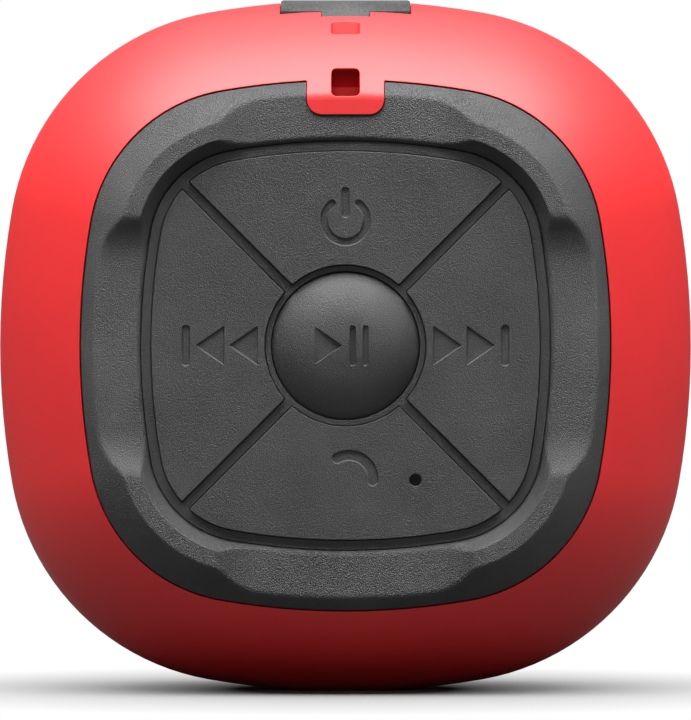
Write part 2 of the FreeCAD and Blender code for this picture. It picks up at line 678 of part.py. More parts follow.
def socket_cuts():
    """Holes in the housing's top for the two sockets."""
    usb_y = MAIN_BOARD_Y - USB_HEIGHT / 2
    usb = box(USB_X - USB_WIDTH / 2 - SKIN_GAP, USB_X + USB_WIDTH / 2 + SKIN_GAP,
              usb_y - USB_HEIGHT / 2 - SKIN_GAP, usb_y + USB_HEIGHT / 2 + SKIN_GAP, HALF - 9, HALF + 5)
    jack_y = MAIN_BOARD_Y - JACK_HEIGHT / 2
    jack = Part.makeCylinder(JACK_HEIGHT / 2 + SKIN_GAP, 14, Vector(JACK_X, jack_y, HALF - 9), Vector(0, 0, 1))
    return [usb, jack]


def anchor_block(grow):
    """Rubber tail of the port cover, clamped between the sleeve and a pocket in the housing."""
    sideways_drop = ANCHOR_HALF ** 2 / (2 * (SIDE_REACH + HALF))
    top_inset = SLEEVE_WALL + SKIN_GAP / 2 + sideways_drop
    outer = crown_strip(top_inset - grow, top_inset + ANCHOR_WALL + grow,
                        COVER_FRONT, COVER_FRONT + 2 * ANCHOR_LENGTH, ANCHOR_HALF + grow)
    start = COVER_FRONT + COVER_WALL / 2 + HINGE_GAP - grow
    return outer.common(box(-HALF, HALF, start, start + ANCHOR_LENGTH + 2 * grow, 0, HALF))


def crown_height(y, inset):
    """Height of the crown's curve over the middle of the body, on the plane X = 0."""
    radius = CROWN_RADIUS - inset
    reach = max(abs(y) - HALF_BELT, 0)
    return HALF - CROWN_RADIUS + math.sqrt(radius * radius - reach * reach)


def crown_strip(outer_inset, inner_inset, y0, y1, half_width):
    """Piece of the top of the barrel between two insets and two planes in front of its middle."""
    bend = max(y0, HALF_BELT)
    middle = (bend + y1) / 2

    def at(y, inset):
        return Vector(crown_height(y, inset), y, 0)

    edges = [line(at(y1, outer_inset), at(y1, inner_inset)), line(at(y0, inner_inset), at(y0, outer_inset))]
    for inset in (outer_inset, inner_inset):
        edges.append(arc(at(bend, inset), at(middle, inset), at(y1, inset)))
        if bend > y0:
            edges.append(line(at(y0, inset), at(bend, inset)))
    return across(Part.Wire(Part.__sortEdges__(edges)), half_width)


def make_rear_housing():
    slab = box(-HALF, HALF, BULKHEAD_Y, SPLIT_Y, -HALF, HALF)
    bulkhead = squircle_plate(skin_point(SEAM_TILT, INNER_INSET)[0] + 1.0, BULKHEAD_Y, BULKHEAD_BACK)
    parts = [housing_band().common(slab), bulkhead]
    parts += [cylinder(BOSS_RADIUS, BULKHEAD_Y + 0.5, BOARD_Y, x * CONTROL_SCREW_OFFSET, z * CONTROL_SCREW_OFFSET)
              for x, z in DIAGONALS]
    parts += [cylinder(CASE_BOSS_RADIUS, BULKHEAD_Y + 0.5, SPLIT_Y + GASKET_THICKNESS,
                       x * CASE_SCREW_OFFSET, z * CASE_SCREW_OFFSET) for x, z in DIAGONALS]
    parts += [cylinder(BOSS_RADIUS, BULKHEAD_Y + 0.5, BRACKET_Y, x * BRACKET_POST_X, BATTERY_MID_Z) for x in (1, -1)]
    parts += [cylinder(BOSS_RADIUS, BULKHEAD_Y + 0.5, MAIN_BOARD_Y, x * MAIN_SCREW_X, MAIN_SCREW_Z) for x in (1, -1)]
    housing = fuse(parts)
    for x, z in KEY_POSTS.values():
        housing = housing.cut(cylinder(POST_RADIUS + POST_PLAY, BULKHEAD_Y - 1, BULKHEAD_BACK + 1, x, z))
    housing = housing.cut(cylinder(MIC_HOLE_RADIUS + 0.3, BULKHEAD_Y - 1, BULKHEAD_BACK + 1, MIC_X, MIC_Z))
    for cutter in socket_cuts() + screw_shafts_in_rear_housing() + [loop_block(SKIN_GAP), anchor_block(SKIN_GAP)]:
        housing = housing.cut(cutter)
    return housing


def make_front_housing():
    slab = box(-HALF, HALF, SPLIT_Y + GASKET_THICKNESS, FRONT_SEAT_Y, -HALF, HALF)
    lip_outer = skin_point(SEAM_TILT, INNER_INSET)[0] + 1.0
    lip = squircle_ring(lip_outer, lip_outer - 4.5, FRONT_SEAT_Y - BULKHEAD_THICKNESS, FRONT_SEAT_Y)
    baffle = squircle_plate(skin_half_at(BAFFLE_Y, (HOUSING_INSET + INNER_INSET) / 2), BAFFLE_BACK, BAFFLE_Y)
    parts = [housing_band().common(slab), lip, baffle]
    parts += [cylinder(CASE_BOSS_RADIUS, SPLIT_Y + GASKET_THICKNESS, BAFFLE_BACK + 0.5,
                       x * CASE_SCREW_OFFSET, z * CASE_SCREW_OFFSET) for x, z in DIAGONALS]
    parts += [cylinder(BOSS_RADIUS, BAFFLE_BACK - 4, BAFFLE_BACK + 0.5, x, z) for x, z in driver_screw_places()]
    housing = fuse(parts).cut(cylinder(BASKET_RADIUS + BASKET_GAP, BAFFLE_BACK - 9, BAFFLE_Y + 1))
    for x, z in DIAGONALS:
        housing = housing.cut(cylinder(CASE_SCREW_RADIUS + HOLE_GAP, 0, BAFFLE_Y + 1,
                                       x * CASE_SCREW_OFFSET, z * CASE_SCREW_OFFSET))
    for x, z in driver_screw_places():
        housing = housing.cut(cylinder(SCREW_RADIUS, BAFFLE_BACK - 3, BAFFLE_Y + 1, x, z))
    return housing.cut(anchor_block(SKIN_GAP))


def make_housing_gasket():
    outer = skin_half_at(SPLIT_Y + GASKET_THICKNESS, HOUSING_INSET) - 0.1
    return squircle_ring(outer, outer - GASKET_WIDTH, SPLIT_Y, SPLIT_Y + GASKET_THICKNESS)


def make_front_bezel():
    grille_half = SEAM_HALF - GRILLE_STEP
    inner = grille_half + BEZEL_GAP
    wire = end_slope_wire(SEAM_GAP, RIDGE_INNER - 5, [(RIDGE_INNER - 5, BULKHEAD_Y), (end_base_half(), BULKHEAD_Y)])
    ring = swept_round(wire).cut(squircle_plate(inner, RIDGE_Y - 1, BULKHEAD_Y + 1))
    return ring.mirror(Vector(0, 0, 0), Y_AXIS)


def make_grille():
    edge = SEAM_HALF - GRILLE_STEP
    flat = edge - GRILLE_EDGE_RADIUS
    inner_y = GRILLE_Y - GRILLE_WALL
    bend_y = GRILLE_Y - GRILLE_EDGE_RADIUS
    core = CORNER_LOSS + 2

    def turn(radius, angle):
        return Vector(flat + radius * sin(angle), bend_y + radius * cos(angle), 0)

    inner_radius = GRILLE_EDGE_RADIUS - GRILLE_WALL
    wire = Part.Wire([
        line(Vector(core, GRILLE_Y, 0), turn(GRILLE_EDGE_RADIUS, 0)),
        arc(turn(GRILLE_EDGE_RADIUS, 0), turn(GRILLE_EDGE_RADIUS, 45), turn(GRILLE_EDGE_RADIUS, 90)),
        line(turn(GRILLE_EDGE_RADIUS, 90), Vector(edge, FRONT_SEAT_Y, 0)),
        line(Vector(edge, FRONT_SEAT_Y, 0), Vector(edge - GRILLE_WALL, FRONT_SEAT_Y, 0)),
        line(Vector(edge - GRILLE_WALL, FRONT_SEAT_Y, 0), turn(inner_radius, 90)),
        arc(turn(inner_radius, 90), turn(inner_radius, 45), turn(inner_radius, 0)),
        line(turn(inner_radius, 0), Vector(core, inner_y, 0)),
        line(Vector(core, inner_y, 0), Vector(core, GRILLE_Y, 0)),
    ])
    shell = fuse([swept_round(wire), squircle_plate(core, inner_y, GRILLE_Y)])
    holes = [cylinder(GRILLE_HOLE_RADIUS, inner_y - 1, GRILLE_Y + 1, x, z) for x, z in grille_hole_places()]
    return shell.cut(Part.makeCompound(holes))


def grille_hole_places():
    """Hexagonal pattern inside the grille's flat part."""
    limit = SEAM_HALF - GRILLE_STEP - GRILLE_MARGIN
    row_step = GRILLE_PITCH * cos(30)
    rows = int(limit / row_step)
    columns = int(limit / GRILLE_PITCH) + 1
    places = []
    for row in range(-rows, rows + 1):
        shift = GRILLE_PITCH / 2 if row % 2 else 0.0
        for column in range(-columns, columns + 1):
            x = column * GRILLE_PITCH + shift
            z = row * row_step
            if inside_squircle(x, z, limit):
                places.append((x, z))
    return places


def inside_squircle(x, z, half):
    x, z = max(abs(x), abs(z)), min(abs(x), abs(z))
    if z < (SIDE_REACH + x) * math.tan(math.radians(SIDE_ANGLE)):
        return math.hypot(x + SIDE_REACH, z) < SIDE_REACH + half
    return math.hypot(x - CORNER_CENTRE, z - CORNER_CENTRE) < half - CORNER_LOSS


def make_grille_cloth():
    back = GRILLE_Y - GRILLE_WALL
    return squircle_plate(SEAM_HALF - GRILLE_STEP - GRILLE_EDGE_RADIUS, back - CLOTH_THICKNESS, back)


# ================= keypad =================

def key_openings(grow):
    """Outer keys' outlines between the grooves, grown by a gap, as four prisms through the keypad."""
    y0, y1 = RIDGE_Y - 1, BULKHEAD_Y + 1
    groove = GROOVE_WIDTH / 2 - grow
    blank = squircle_plate(PAD_HALF + grow, y0, y1)
    blank = blank.cut(cylinder(KNOB_RADIUS + KNOB_GROOVE - grow, y0 - 1, y1 + 1))
    bar = box(-2 * HALF, 2 * HALF, y0 - 1, y1 + 1, -groove, groove)
    for angle in (45, -45):
        blank = blank.cut(turned_about_y(bar, angle))
    return blank.Solids


def key_outline(direction, grow):
    """The one outer key that lies towards this (x, z) direction."""
    return max(key_openings(grow), key=lambda solid: solid.CenterOfMass.dot(Vector(direction[0], 0, direction[1])))


def make_keypad_membrane():
    flange_y = BULKHEAD_Y - MEMBRANE_FLANGE_THICKNESS
    web = squircle_plate(CHANNEL_OUTER - SKIN_GAP, CHANNEL_Y, BULKHEAD_Y)
    flange = squircle_plate(CHANNEL_OUTER + MEMBRANE_FLANGE, flange_y, BULKHEAD_Y)
    membrane = fuse([web, flange])
    for opening in key_openings(KEY_GAP):
        membrane = membrane.cut(opening)
    return membrane.cut(cylinder(KNOB_RADIUS + KEY_GAP, RIDGE_Y, BULKHEAD_Y + 1))


def outer_key(name, icons):
    """One of the four outer keys, with its post and its engraved sign."""
    x, z = KEY_POSTS[name]
    slab = box(-HALF, HALF, KEY_Y, KEY_UNDER_Y, -HALF, HALF)
    key = key_outline((x, z), 0.0).common(slab)
    corners = [edge for edge in key.Edges if edge.BoundBox.YLength > KEY_BODY - EPS]
    key = key.makeFillet(KEY_CORNER_FILLET, corners)
    rim = [edge for edge in key.Edges if edge.BoundBox.YMax < KEY_Y + EPS]
    key = key.makeFillet(KEY_EDGE_FILLET, rim)
    for icon in icons:
        key = key.cut(icon)
    post = cylinder(POST_RADIUS, KEY_UNDER_Y - 0.5, POST_END_Y, x, z)
    return key.fuse(post).removeSplitter()


def engraved(wire, surface_y, depth):
    """Cutter for a sign whose outline is drawn in the plane Y = 0."""
    solid = Part.Face(wire).extrude(Vector(0, depth + 1, 0))
    solid.translate(Vector(0, surface_y - 1, 0))
    return solid


def sign_polygon(points):
    corners = [Vector(x, 0, z) for x, z in points]
    return Part.makePolygon(corners + corners[:1])


def sign_bar(x, half_width, z0, z1):
    return sign_polygon([(x - half_width, z0), (x + half_width, z0), (x + half_width, z1), (x - half_width, z1)])


def sign_arc(x, z, outer, inner, start, end):
    """Open ring from one angle to another, anticlockwise as seen from behind."""
    def at(radius, angle):
        return Vector(x + radius * cos(angle), 0, z + radius * sin(angle))

    middle = (start + end) / 2
    return Part.Wire([
        arc(at(outer, start), at(outer, middle), at(outer, end)),
        line(at(outer, end), at(inner, end)),
        arc(at(inner, end), at(inner, middle), at(inner, start)),
        line(at(inner, start), at(outer, start)),
    ])


def make_power_key():
    ring = sign_arc(0.0, KEY_POST_RADIUS, POWER_RING_OUTER, POWER_RING_INNER, *POWER_RING_SPAN)
    stem = sign_bar(0.0, POWER_STEM_HALF, KEY_POST_RADIUS + POWER_STEM[0], KEY_POST_RADIUS + POWER_STEM[1])
    return outer_key("power", [engraved(wire, KEY_Y, ICON_DEPTH) for wire in (ring, stem)])


def skip_signs(side):
    """Two arrowheads and a bar that point away from the middle key."""
    signs = [sign_bar(side * SKIP_BAR_X, SKIP_BAR_HALF, -BAR_REACH, BAR_REACH)]
    for base in ARROW_BASES:
        tip = base + ARROW_LENGTH
        signs.append(sign_polygon([(side * base, -ARROW_HALF), (side * tip, 0), (side * base, ARROW_HALF)]))
    return [engraved(wire, KEY_Y, ICON_DEPTH) for wire in signs]


def make_previous_key():
    return outer_key("previous", skip_signs(-1))


def make_next_key():
    return outer_key("next", skip_signs(1))


def make_call_key():
    """Handset sign: an arc with a heavier end piece at each end."""
    signs = [sign_arc(*HANDSET_CENTRE, HANDSET_OUTER, HANDSET_INNER, *HANDSET_SPAN)]
    signs += [sign_arc(*HANDSET_CENTRE, EARPIECE_OUTER, EARPIECE_INNER, *span) for span in EARPIECE_SPANS]
    key = outer_key("call", [engraved(wire, KEY_Y, ICON_DEPTH) for wire in signs])
    return key.cut(cylinder(MIC_HOLE_RADIUS, KEY_Y - 1, KEY_UNDER_Y + 1, MIC_X, MIC_Z))


def make_play_pause_key():
    """Domed middle key: a shallow crown, a tighter shoulder, then a short upright rim."""
    crown_tilt = math.degrees(math.asin(KNOB_CROWN_REACH / KNOB_CROWN_RADIUS))
    rim = KNOB_RADIUS - KNOB_RIM_FILLET
    shoulder_radius = (rim - KNOB_CROWN_REACH) / (sin(KNOB_RIM_TILT) - sin(crown_tilt))
    crown_y = RIDGE_Y + KNOB_CROWN_RADIUS * (1 - cos(crown_tilt))

    def crown(tilt):
        return Vector(KNOB_CROWN_RADIUS * sin(tilt), RIDGE_Y + KNOB_CROWN_RADIUS * (1 - cos(tilt)), 0)

    def shoulder(tilt):
        return Vector(KNOB_CROWN_REACH + shoulder_radius * (sin(tilt) - sin(crown_tilt)),
                      crown_y + shoulder_radius * (cos(crown_tilt) - cos(tilt)), 0)

    edge = shoulder(KNOB_RIM_TILT)
    turn = (KNOB_RADIUS - edge.x) / (1 - sin(KNOB_RIM_TILT))
    middle = (KNOB_RIM_TILT + 90) / 2
    side_y = edge.y + turn * cos(KNOB_RIM_TILT)
    bend = Vector(KNOB_RADIUS - turn * (1 - sin(middle)), side_y - turn * cos(middle), 0)
    wire = Part.Wire([
        arc(crown(0), crown(crown_tilt / 2), crown(crown_tilt)),
        arc(crown(crown_tilt), shoulder((crown_tilt + KNOB_RIM_TILT) / 2), edge),
        arc(edge, bend, Vector(KNOB_RADIUS, side_y, 0)),
        line(Vector(KNOB_RADIUS, side_y, 0), Vector(KNOB_RADIUS, KEY_UNDER_Y, 0)),
        line(Vector(KNOB_RADIUS, KEY_UNDER_Y, 0), Vector(POST_RADIUS, KEY_UNDER_Y, 0)),
        line(Vector(POST_RADIUS, KEY_UNDER_Y, 0), Vector(POST_RADIUS, POST_END_Y, 0)),
        line(Vector(POST_RADIUS, POST_END_Y, 0), Vector(0, POST_END_Y, 0)),
        line(Vector(0, POST_END_Y, 0), crown(0)),
    ])
    knob = spun(wire)
    signs = [sign_polygon([(PLAY_BASE, -PLAY_HALF), (PLAY_TIP, 0), (PLAY_BASE, PLAY_HALF)])]
    signs += [sign_bar(x, half_width, -BAR_REACH, BAR_REACH) for x, half_width in PAUSE_BARS]
    for sign in signs:
        knob = knob.cut(engraved(sign, RIDGE_Y, KNOB_ICON_DEPTH))
    return knob


# ================= electronics =================

def make_control_board():
    board = squircle_plate(CONTROL_BOARD_HALF, BOARD_Y, BOARD_BACK)
    for x, z in DIAGONALS:
        board = board.cut(cylinder(SCREW_RADIUS + HOLE_GAP, BOARD_Y - 1, BOARD_BACK + 1,
                                   x * CONTROL_SCREW_OFFSET, z * CONTROL_SCREW_OFFSET))
    return board


def make_switch_bodies():
    switches = []
    for x, z in KEY_POSTS.values():
        half = SWITCH_SIDE / 2
        body = box(x - half, x + half, SWITCH_TOP_Y, BOARD_Y, z - half, z + half)
        switches.append(body.cut(cylinder(PLUNGER_RADIUS + PLUNGER_PLAY, SWITCH_TOP_Y - 1,
                                          BOARD_Y - PLUNGER_FLOOR, x, z)))
    return Part.makeCompound(switches)


def switch_plunger(name):
    x, z = KEY_POSTS[name]
    return cylinder(PLUNGER_RADIUS, POST_END_Y, BOARD_Y - PLUNGER_FLOOR - KEY_TRAVEL - 0.1, x, z)


def make_microphone():
    return cylinder(MIC_RADIUS, BOARD_Y - MIC_HEIGHT, BOARD_Y, MIC_X, MIC_Z)


def make_microphone_boot():
    boot = cylinder(MIC_RADIUS + BOOT_WALL, BULKHEAD_BACK, BOARD_Y, MIC_X, MIC_Z)
    boot = boot.cut(cylinder(MIC_RADIUS + 0.05, BOARD_Y - MIC_HEIGHT, BOARD_Y + 1, MIC_X, MIC_Z))
    return boot.cut(cylinder(MIC_HOLE_RADIUS, BULKHEAD_BACK - 1, BOARD_Y, MIC_X, MIC_Z))


def make_main_board():
    board = box(-MAIN_BOARD_HALF, MAIN_BOARD_HALF, MAIN_BOARD_Y, MAIN_BOARD_Y + BOARD_THICKNESS,
                MAIN_BOARD_BOTTOM, MAIN_BOARD_TOP)
    for x in (1, -1):
        board = board.cut(cylinder(SCREW_RADIUS + HOLE_GAP, MAIN_BOARD_Y - 1, MAIN_BOARD_Y + BOARD_THICKNESS + 1,
                                   x * MAIN_SCREW_X, MAIN_SCREW_Z))
    return board


def socket_mouth_z():
    """Height of the sockets' mouths, just under the port cover."""
    return HALF - SLEEVE_WALL - MOUTH_STEP


def make_usb_socket():
    """Pressed-steel shell with the contact tongue inside, opening upwards."""
    top = socket_mouth_z()
    y1 = MAIN_BOARD_Y
    y0 = y1 - USB_HEIGHT
    half = USB_WIDTH / 2
    shell = box(USB_X - half, USB_X + half, y0, y1, top - USB_LENGTH, top)
    hollow = box(USB_X - half + USB_SHELL, USB_X + half - USB_SHELL, y0 + USB_SHELL, y1 - USB_SHELL,
                 top - USB_LENGTH + USB_BACK, top + 1)
    tongue = box(USB_X - USB_TONGUE_HALF, USB_X + USB_TONGUE_HALF, y1 - USB_TONGUE[0], y1 - USB_TONGUE[1],
                 top - USB_LENGTH + USB_BACK / 2, top - USB_TONGUE_BELOW)
    return fuse([shell.cut(hollow), tongue])


def make_aux_jack():
    """Audio jack: a moulded block with a round nose that fills the hole in the housing."""
    top = socket_mouth_z()
    axis_y = MAIN_BOARD_Y - JACK_HEIGHT / 2
    half = JACK_BODY / 2
    block_top = HALF - INNER_INSET - JACK_BLOCK_BELOW
    block = box(JACK_X - half, JACK_X + half, MAIN_BOARD_Y - JACK_HEIGHT, MAIN_BOARD_Y, top - JACK_LENGTH, block_top)
    nose = Part.makeCylinder(JACK_HEIGHT / 2, top - block_top + 1, Vector(JACK_X, axis_y, block_top - 1),
                             Vector(0, 0, 1))
    bore = Part.makeCylinder(JACK_BORE_RADIUS, JACK_BORE_LENGTH + 1, Vector(JACK_X, axis_y, top - JACK_BORE_LENGTH),
                             Vector(0, 0, 1))
    lead_in = Part.makeCylinder(JACK_LEAD_IN_RADIUS, JACK_LEAD_IN + 1, Vector(JACK_X, axis_y, top - JACK_LEAD_IN),
                                Vector(0, 0, 1))
    return fuse([block, nose]).cut(bore).cut(lead_in)


def on_main_board(place, size):
    """Component on the rear face of the main board, placed from the middle of its lower edge."""
    x, z = place[0], MAIN_BOARD_BOTTOM + place[1]
    width, height, thickness = size
    return box(x - width / 2, x + width / 2, MAIN_BOARD_Y - thickness, MAIN_BOARD_Y, z - height / 2, z + height / 2)


def make_radio_module():
    return on_main_board(RADIO_PLACE, RADIO_SIZE)


def make_amplifier_chip():
    return on_main_board(AMPLIFIER_PLACE, AMPLIFIER_SIZE)


def make_inductors():
    return Part.makeCompound([on_main_board(place, INDUCTOR_SIZE) for place in INDUCTOR_PLACES])


def make_capacitors():
    return Part.makeCompound([
        cylinder(CAPACITOR_RADIUS, MAIN_BOARD_Y - CAPACITOR_HEIGHT, MAIN_BOARD_Y, x,
                 MAIN_SCREW_Z + CAPACITOR_OVER_SCREW) for x in (CAPACITOR_X, -CAPACITOR_X)])


def ribbon_z():
    """Height of the ribbon: over the control board's edge and under the main board's lower edge."""
    return MAIN_BOARD_BOTTOM + RIBBON_OVER_EDGE


def make_ribbon_connectors():
    z = ribbon_z()
    half = RIBBON_WIDTH / 2 + CONNECTOR_MARGIN
    return Part.makeCompound([
        box(RIBBON_X - half, RIBBON_X + half, y, y + CONNECTOR_HEIGHT, z - CONNECTOR_HALF, z + CONNECTOR_HALF)
        for y in (BOARD_BACK, MAIN_BOARD_Y - CONNECTOR_HEIGHT)])


def make_ribbon_cable():
    z = ribbon_z()
    half = RIBBON_WIDTH / 2
    return box(-half + RIBBON_X, half + RIBBON_X, BOARD_BACK + CONNECTOR_HEIGHT, MAIN_BOARD_Y - CONNECTOR_HEIGHT,
               z - RIBBON_THICKNESS / 2, z + RIBBON_THICKNESS / 2)


def make_battery():
    half = BATTERY_WIDTH / 2
    pouch = box(-half, half, BATTERY_Y, BATTERY_Y + BATTERY_THICKNESS,
                BATTERY_MID_Z - BATTERY_HEIGHT / 2, BATTERY_MID_Z + BATTERY_HEIGHT / 2)
    return pouch.makeFillet(BATTERY_FILLET, [edge for edge in pouch.Edges if edge.BoundBox.ZLength > 5])


def make_battery_bracket():
    """Tray behind the battery, with a low wall round it and an ear on each side."""
    half = BATTERY_WIDTH / 2 + TRAY_GAP
    top = BATTERY_MID_Z + BATTERY_HEIGHT / 2 + TRAY_GAP
    bottom = BATTERY_MID_Z - BATTERY_HEIGHT / 2 - TRAY_GAP
    rim_y = BATTERY_Y + TRAY_HEIGHT
    tray = box(-half - TRAY_WALL, half + TRAY_WALL, BRACKET_Y, rim_y, bottom - TRAY_WALL, top + TRAY_WALL)
    tray = tray.cut(box(-half, half, BATTERY_Y, rim_y + 1, bottom, top))
    ears = [box(min(x * half, x * BRACKET_POST_X), max(x * half, x * BRACKET_POST_X), BRACKET_Y, BATTERY_Y,
                BATTERY_MID_Z - BOSS_RADIUS, BATTERY_MID_Z + BOSS_RADIUS) for x in (1, -1)]
    ears += [cylinder(BOSS_RADIUS, BRACKET_Y, BATTERY_Y, x * BRACKET_POST_X, BATTERY_MID_Z) for x in (1, -1)]
    bracket = fuse([tray] + ears)
    for x in (1, -1):
        bracket = bracket.cut(cylinder(SCREW_RADIUS + HOLE_GAP, BRACKET_Y - 1, BATTERY_Y + 1,
                                       x * BRACKET_POST_X, BATTERY_MID_Z))
    return bracket


def wire_run(points, bend):
    """Round wire through (x, y, z) points, with an arc of one radius at each bend."""
    points = [Vector(*point) for point in points]
    edges = []
    start = points[0]
    for before, corner, after in zip(points, points[1:], points[2:]):
        back = (before - corner).normalize()
        ahead = (after - corner).normalize()
        half_turn = (math.pi - back.getAngle(ahead)) / 2
        trim = bend * math.tan(half_turn)
        first = corner + back * trim
        last = corner + ahead * trim
        centre = corner + (back + ahead).normalize() * (bend / math.cos(half_turn))
        middle = centre + (corner - centre).normalize() * bend
        edges += [line(start, first), arc(first, middle, last)]
        start = last
    edges.append(line(start, points[-1]))
    path = Part.Wire(edges)
    section = Part.Wire([Part.Circle(points[0], points[1] - points[0], WIRE_RADIUS).toShape()])
    return path.makePipeShell([section], True, False)


def make_battery_leads():
    """Two wires from the battery's upper edge to the main board's rear face."""
    top = BATTERY_MID_Z + BATTERY_HEIGHT / 2
    wires = []
    for x in BATTERY_LEADS_X:
        y = BATTERY_Y + BATTERY_THICKNESS - BATTERY_LEAD_DEPTH
        board_z = MAIN_BOARD_BOTTOM + BATTERY_LEAD_OVER_EDGE
        wires.append(wire_run([(x, y, top), (x, y, board_z), (x, MAIN_BOARD_Y, board_z)], WIRE_BEND))
    return Part.makeCompound(wires)


def make_speaker_leads():
    """Two wires from the main board's front face to the loudspeaker's terminals."""
    y0 = MAIN_BOARD_Y + BOARD_THICKNESS
    wires = []
    high = MAIN_BOARD_BOTTOM + SPEAKER_LEAD_OVER_EDGE
    for x in SPEAKER_LEADS_X:
        wires.append(wire_run([(x, y0, high), (x, terminal_y(), high), (x, terminal_y(), terminal_top())], WIRE_BEND))
    return Part.makeCompound(wires)


# ================= loudspeaker =================

def driver_screw_places():
    return [(FLANGE_HOLE_CIRCLE * cos(angle), FLANGE_HOLE_CIRCLE * sin(angle)) for angle in (0, 90, 180, 270)]


def terminal_y():
    return BASKET_FOOT_Y + TERMINAL_RISE


def terminal_top():
    return BASKET_FOOT_RADIUS + TERMINAL_REACH


def make_driver_frame():
    """Pressed basket: flange, sloping wall with four windows, and a foot ring that holds the motor."""
    flange_inner = BASKET_RADIUS - BASKET_WALL
    foot_top = BASKET_FOOT_Y + BASKET_WALL
    bend_y = BAFFLE_Y - BASKET_STRAIGHT
    wire = polygon([
        (FLANGE_RADIUS, FLANGE_Y), (FLANGE_RADIUS, FLANGE_FRONT), (flange_inner, FLANGE_FRONT),
        (flange_inner, bend_y), (BASKET_FOOT_RADIUS - BASKET_WALL, foot_top),
        (yoke_inner(), foot_top), (yoke_inner(), BASKET_FOOT_Y), (BASKET_FOOT_RADIUS, BASKET_FOOT_Y),
        (BASKET_RADIUS, bend_y), (BASKET_RADIUS, FLANGE_Y),
    ])
    basket = spun(wire)
    window = box(-WINDOW_HALF, WINDOW_HALF, foot_top + WINDOW_OVER_FOOT, BAFFLE_BACK - WINDOW_UNDER_BAFFLE,
                 0, FLANGE_RADIUS)
    for angle in (45, 135, 225, 315):
        basket = basket.cut(turned_about_y(window, angle))
    lug = box(-TERMINAL_HALF, TERMINAL_HALF, terminal_y() - LUG_HALF_THICKNESS, terminal_y() + LUG_HALF_THICKNESS,
              0, terminal_top() - TERMINAL_THICKNESS)
    inside = cylinder(BASKET_FOOT_RADIUS + LUG_CLEAR, terminal_y() - 2, terminal_y() + 2)
    basket = fuse([basket, lug.cut(inside)])
    for x, z in driver_screw_places():
        basket = basket.cut(cylinder(SCREW_RADIUS + FLANGE_HOLE_GAP, FLANGE_Y - 1, FLANGE_FRONT + 1, x, z))
    return basket


def make_driver_terminals():
    top = terminal_top()
    return box(-TERMINAL_HALF, TERMINAL_HALF, terminal_y() - TERMINAL_BACK, terminal_y() + TERMINAL_FRONT,
               top - TERMINAL_THICKNESS, top)


def yoke_inner():
    return COIL_RADIUS + FORMER_WALL + WINDING_WALL + YOKE_CLEAR


def make_driver_yoke():
    """Steel cup under the basket's foot ring."""
    outer = yoke_inner() + YOKE_WALL
    cup = cylinder(outer, BASKET_FOOT_Y - MOTOR_DEPTH, BASKET_FOOT_Y)
    return cup.cut(cylinder(yoke_inner(), BASKET_FOOT_Y - MOTOR_DEPTH + YOKE_WALL, BASKET_FOOT_Y + 1))


def motor_floor():
    return BASKET_FOOT_Y - MOTOR_DEPTH + YOKE_WALL


def make_driver_magnet():
    return cylinder(COIL_RADIUS - POLE_CLEAR - MAGNET_STEP, motor_floor(), BASKET_FOOT_Y - POLE_THICKNESS)


def make_driver_pole_piece():
    return cylinder(COIL_RADIUS - POLE_CLEAR, BASKET_FOOT_Y - POLE_THICKNESS, BASKET_FOOT_Y)


def cone_neck_y():
    return BASKET_FOOT_Y + NECK_RISE


def cone_edge_y():
    return FLANGE_FRONT - ROLL_THICKNESS


def make_voice_coil():
    """Thin former with the winding in the motor's gap."""
    bottom = motor_floor() + CONE_TRAVEL + COIL_FLOOR_CLEAR
    former = tube(COIL_RADIUS + FORMER_WALL, COIL_RADIUS, bottom, cone_neck_y() + FORMER_PROUD)
    winding = tube(COIL_RADIUS + FORMER_WALL + WINDING_WALL, COIL_RADIUS + FORMER_WALL / 2, bottom,
                   bottom + WINDING_LENGTH)
    return fuse([former, winding])


def make_cone():
    neck = COIL_RADIUS + FORMER_WALL
    low = cone_neck_y()
    high = cone_edge_y()
    return spun(polygon([
        (neck, low), (CONE_EDGE_RADIUS - CONE_RIM, high - CONE_THICKNESS), (CONE_EDGE_RADIUS, high - CONE_THICKNESS),
        (CONE_EDGE_RADIUS, high), (CONE_EDGE_RADIUS - CONE_RIM - CONE_RIM_BEVEL, high),
        (neck, low + CONE_THICKNESS * CONE_NECK_THICKENING),
    ]))


def make_dust_cap():
    """Shallow dome glued over the former's mouth."""
    radius = COIL_RADIUS + FORMER_WALL
    low = cone_neck_y() + FORMER_PROUD

    def dome_arc(edge, bottom, rise):
        sphere = (edge * edge + rise * rise) / (2 * rise)
        half = math.degrees(math.asin(edge / sphere)) / 2
        return arc(Vector(edge, bottom, 0), Vector(sphere * sin(half), bottom + rise - sphere * (1 - cos(half)), 0),
                   Vector(0, bottom + rise, 0))

    outer = dome_arc(radius, low, DUST_CAP_RISE)
    inner = dome_arc(radius - DUST_CAP_WALL, low, DUST_CAP_RISE - DUST_CAP_WALL)
    wire = Part.Wire(Part.__sortEdges__([
        outer, inner, line(Vector(radius, low, 0), Vector(radius - DUST_CAP_WALL, low, 0)),
        line(Vector(0, low + DUST_CAP_RISE, 0), Vector(0, low + DUST_CAP_RISE - DUST_CAP_WALL, 0)),
    ]))
    return spun(wire)


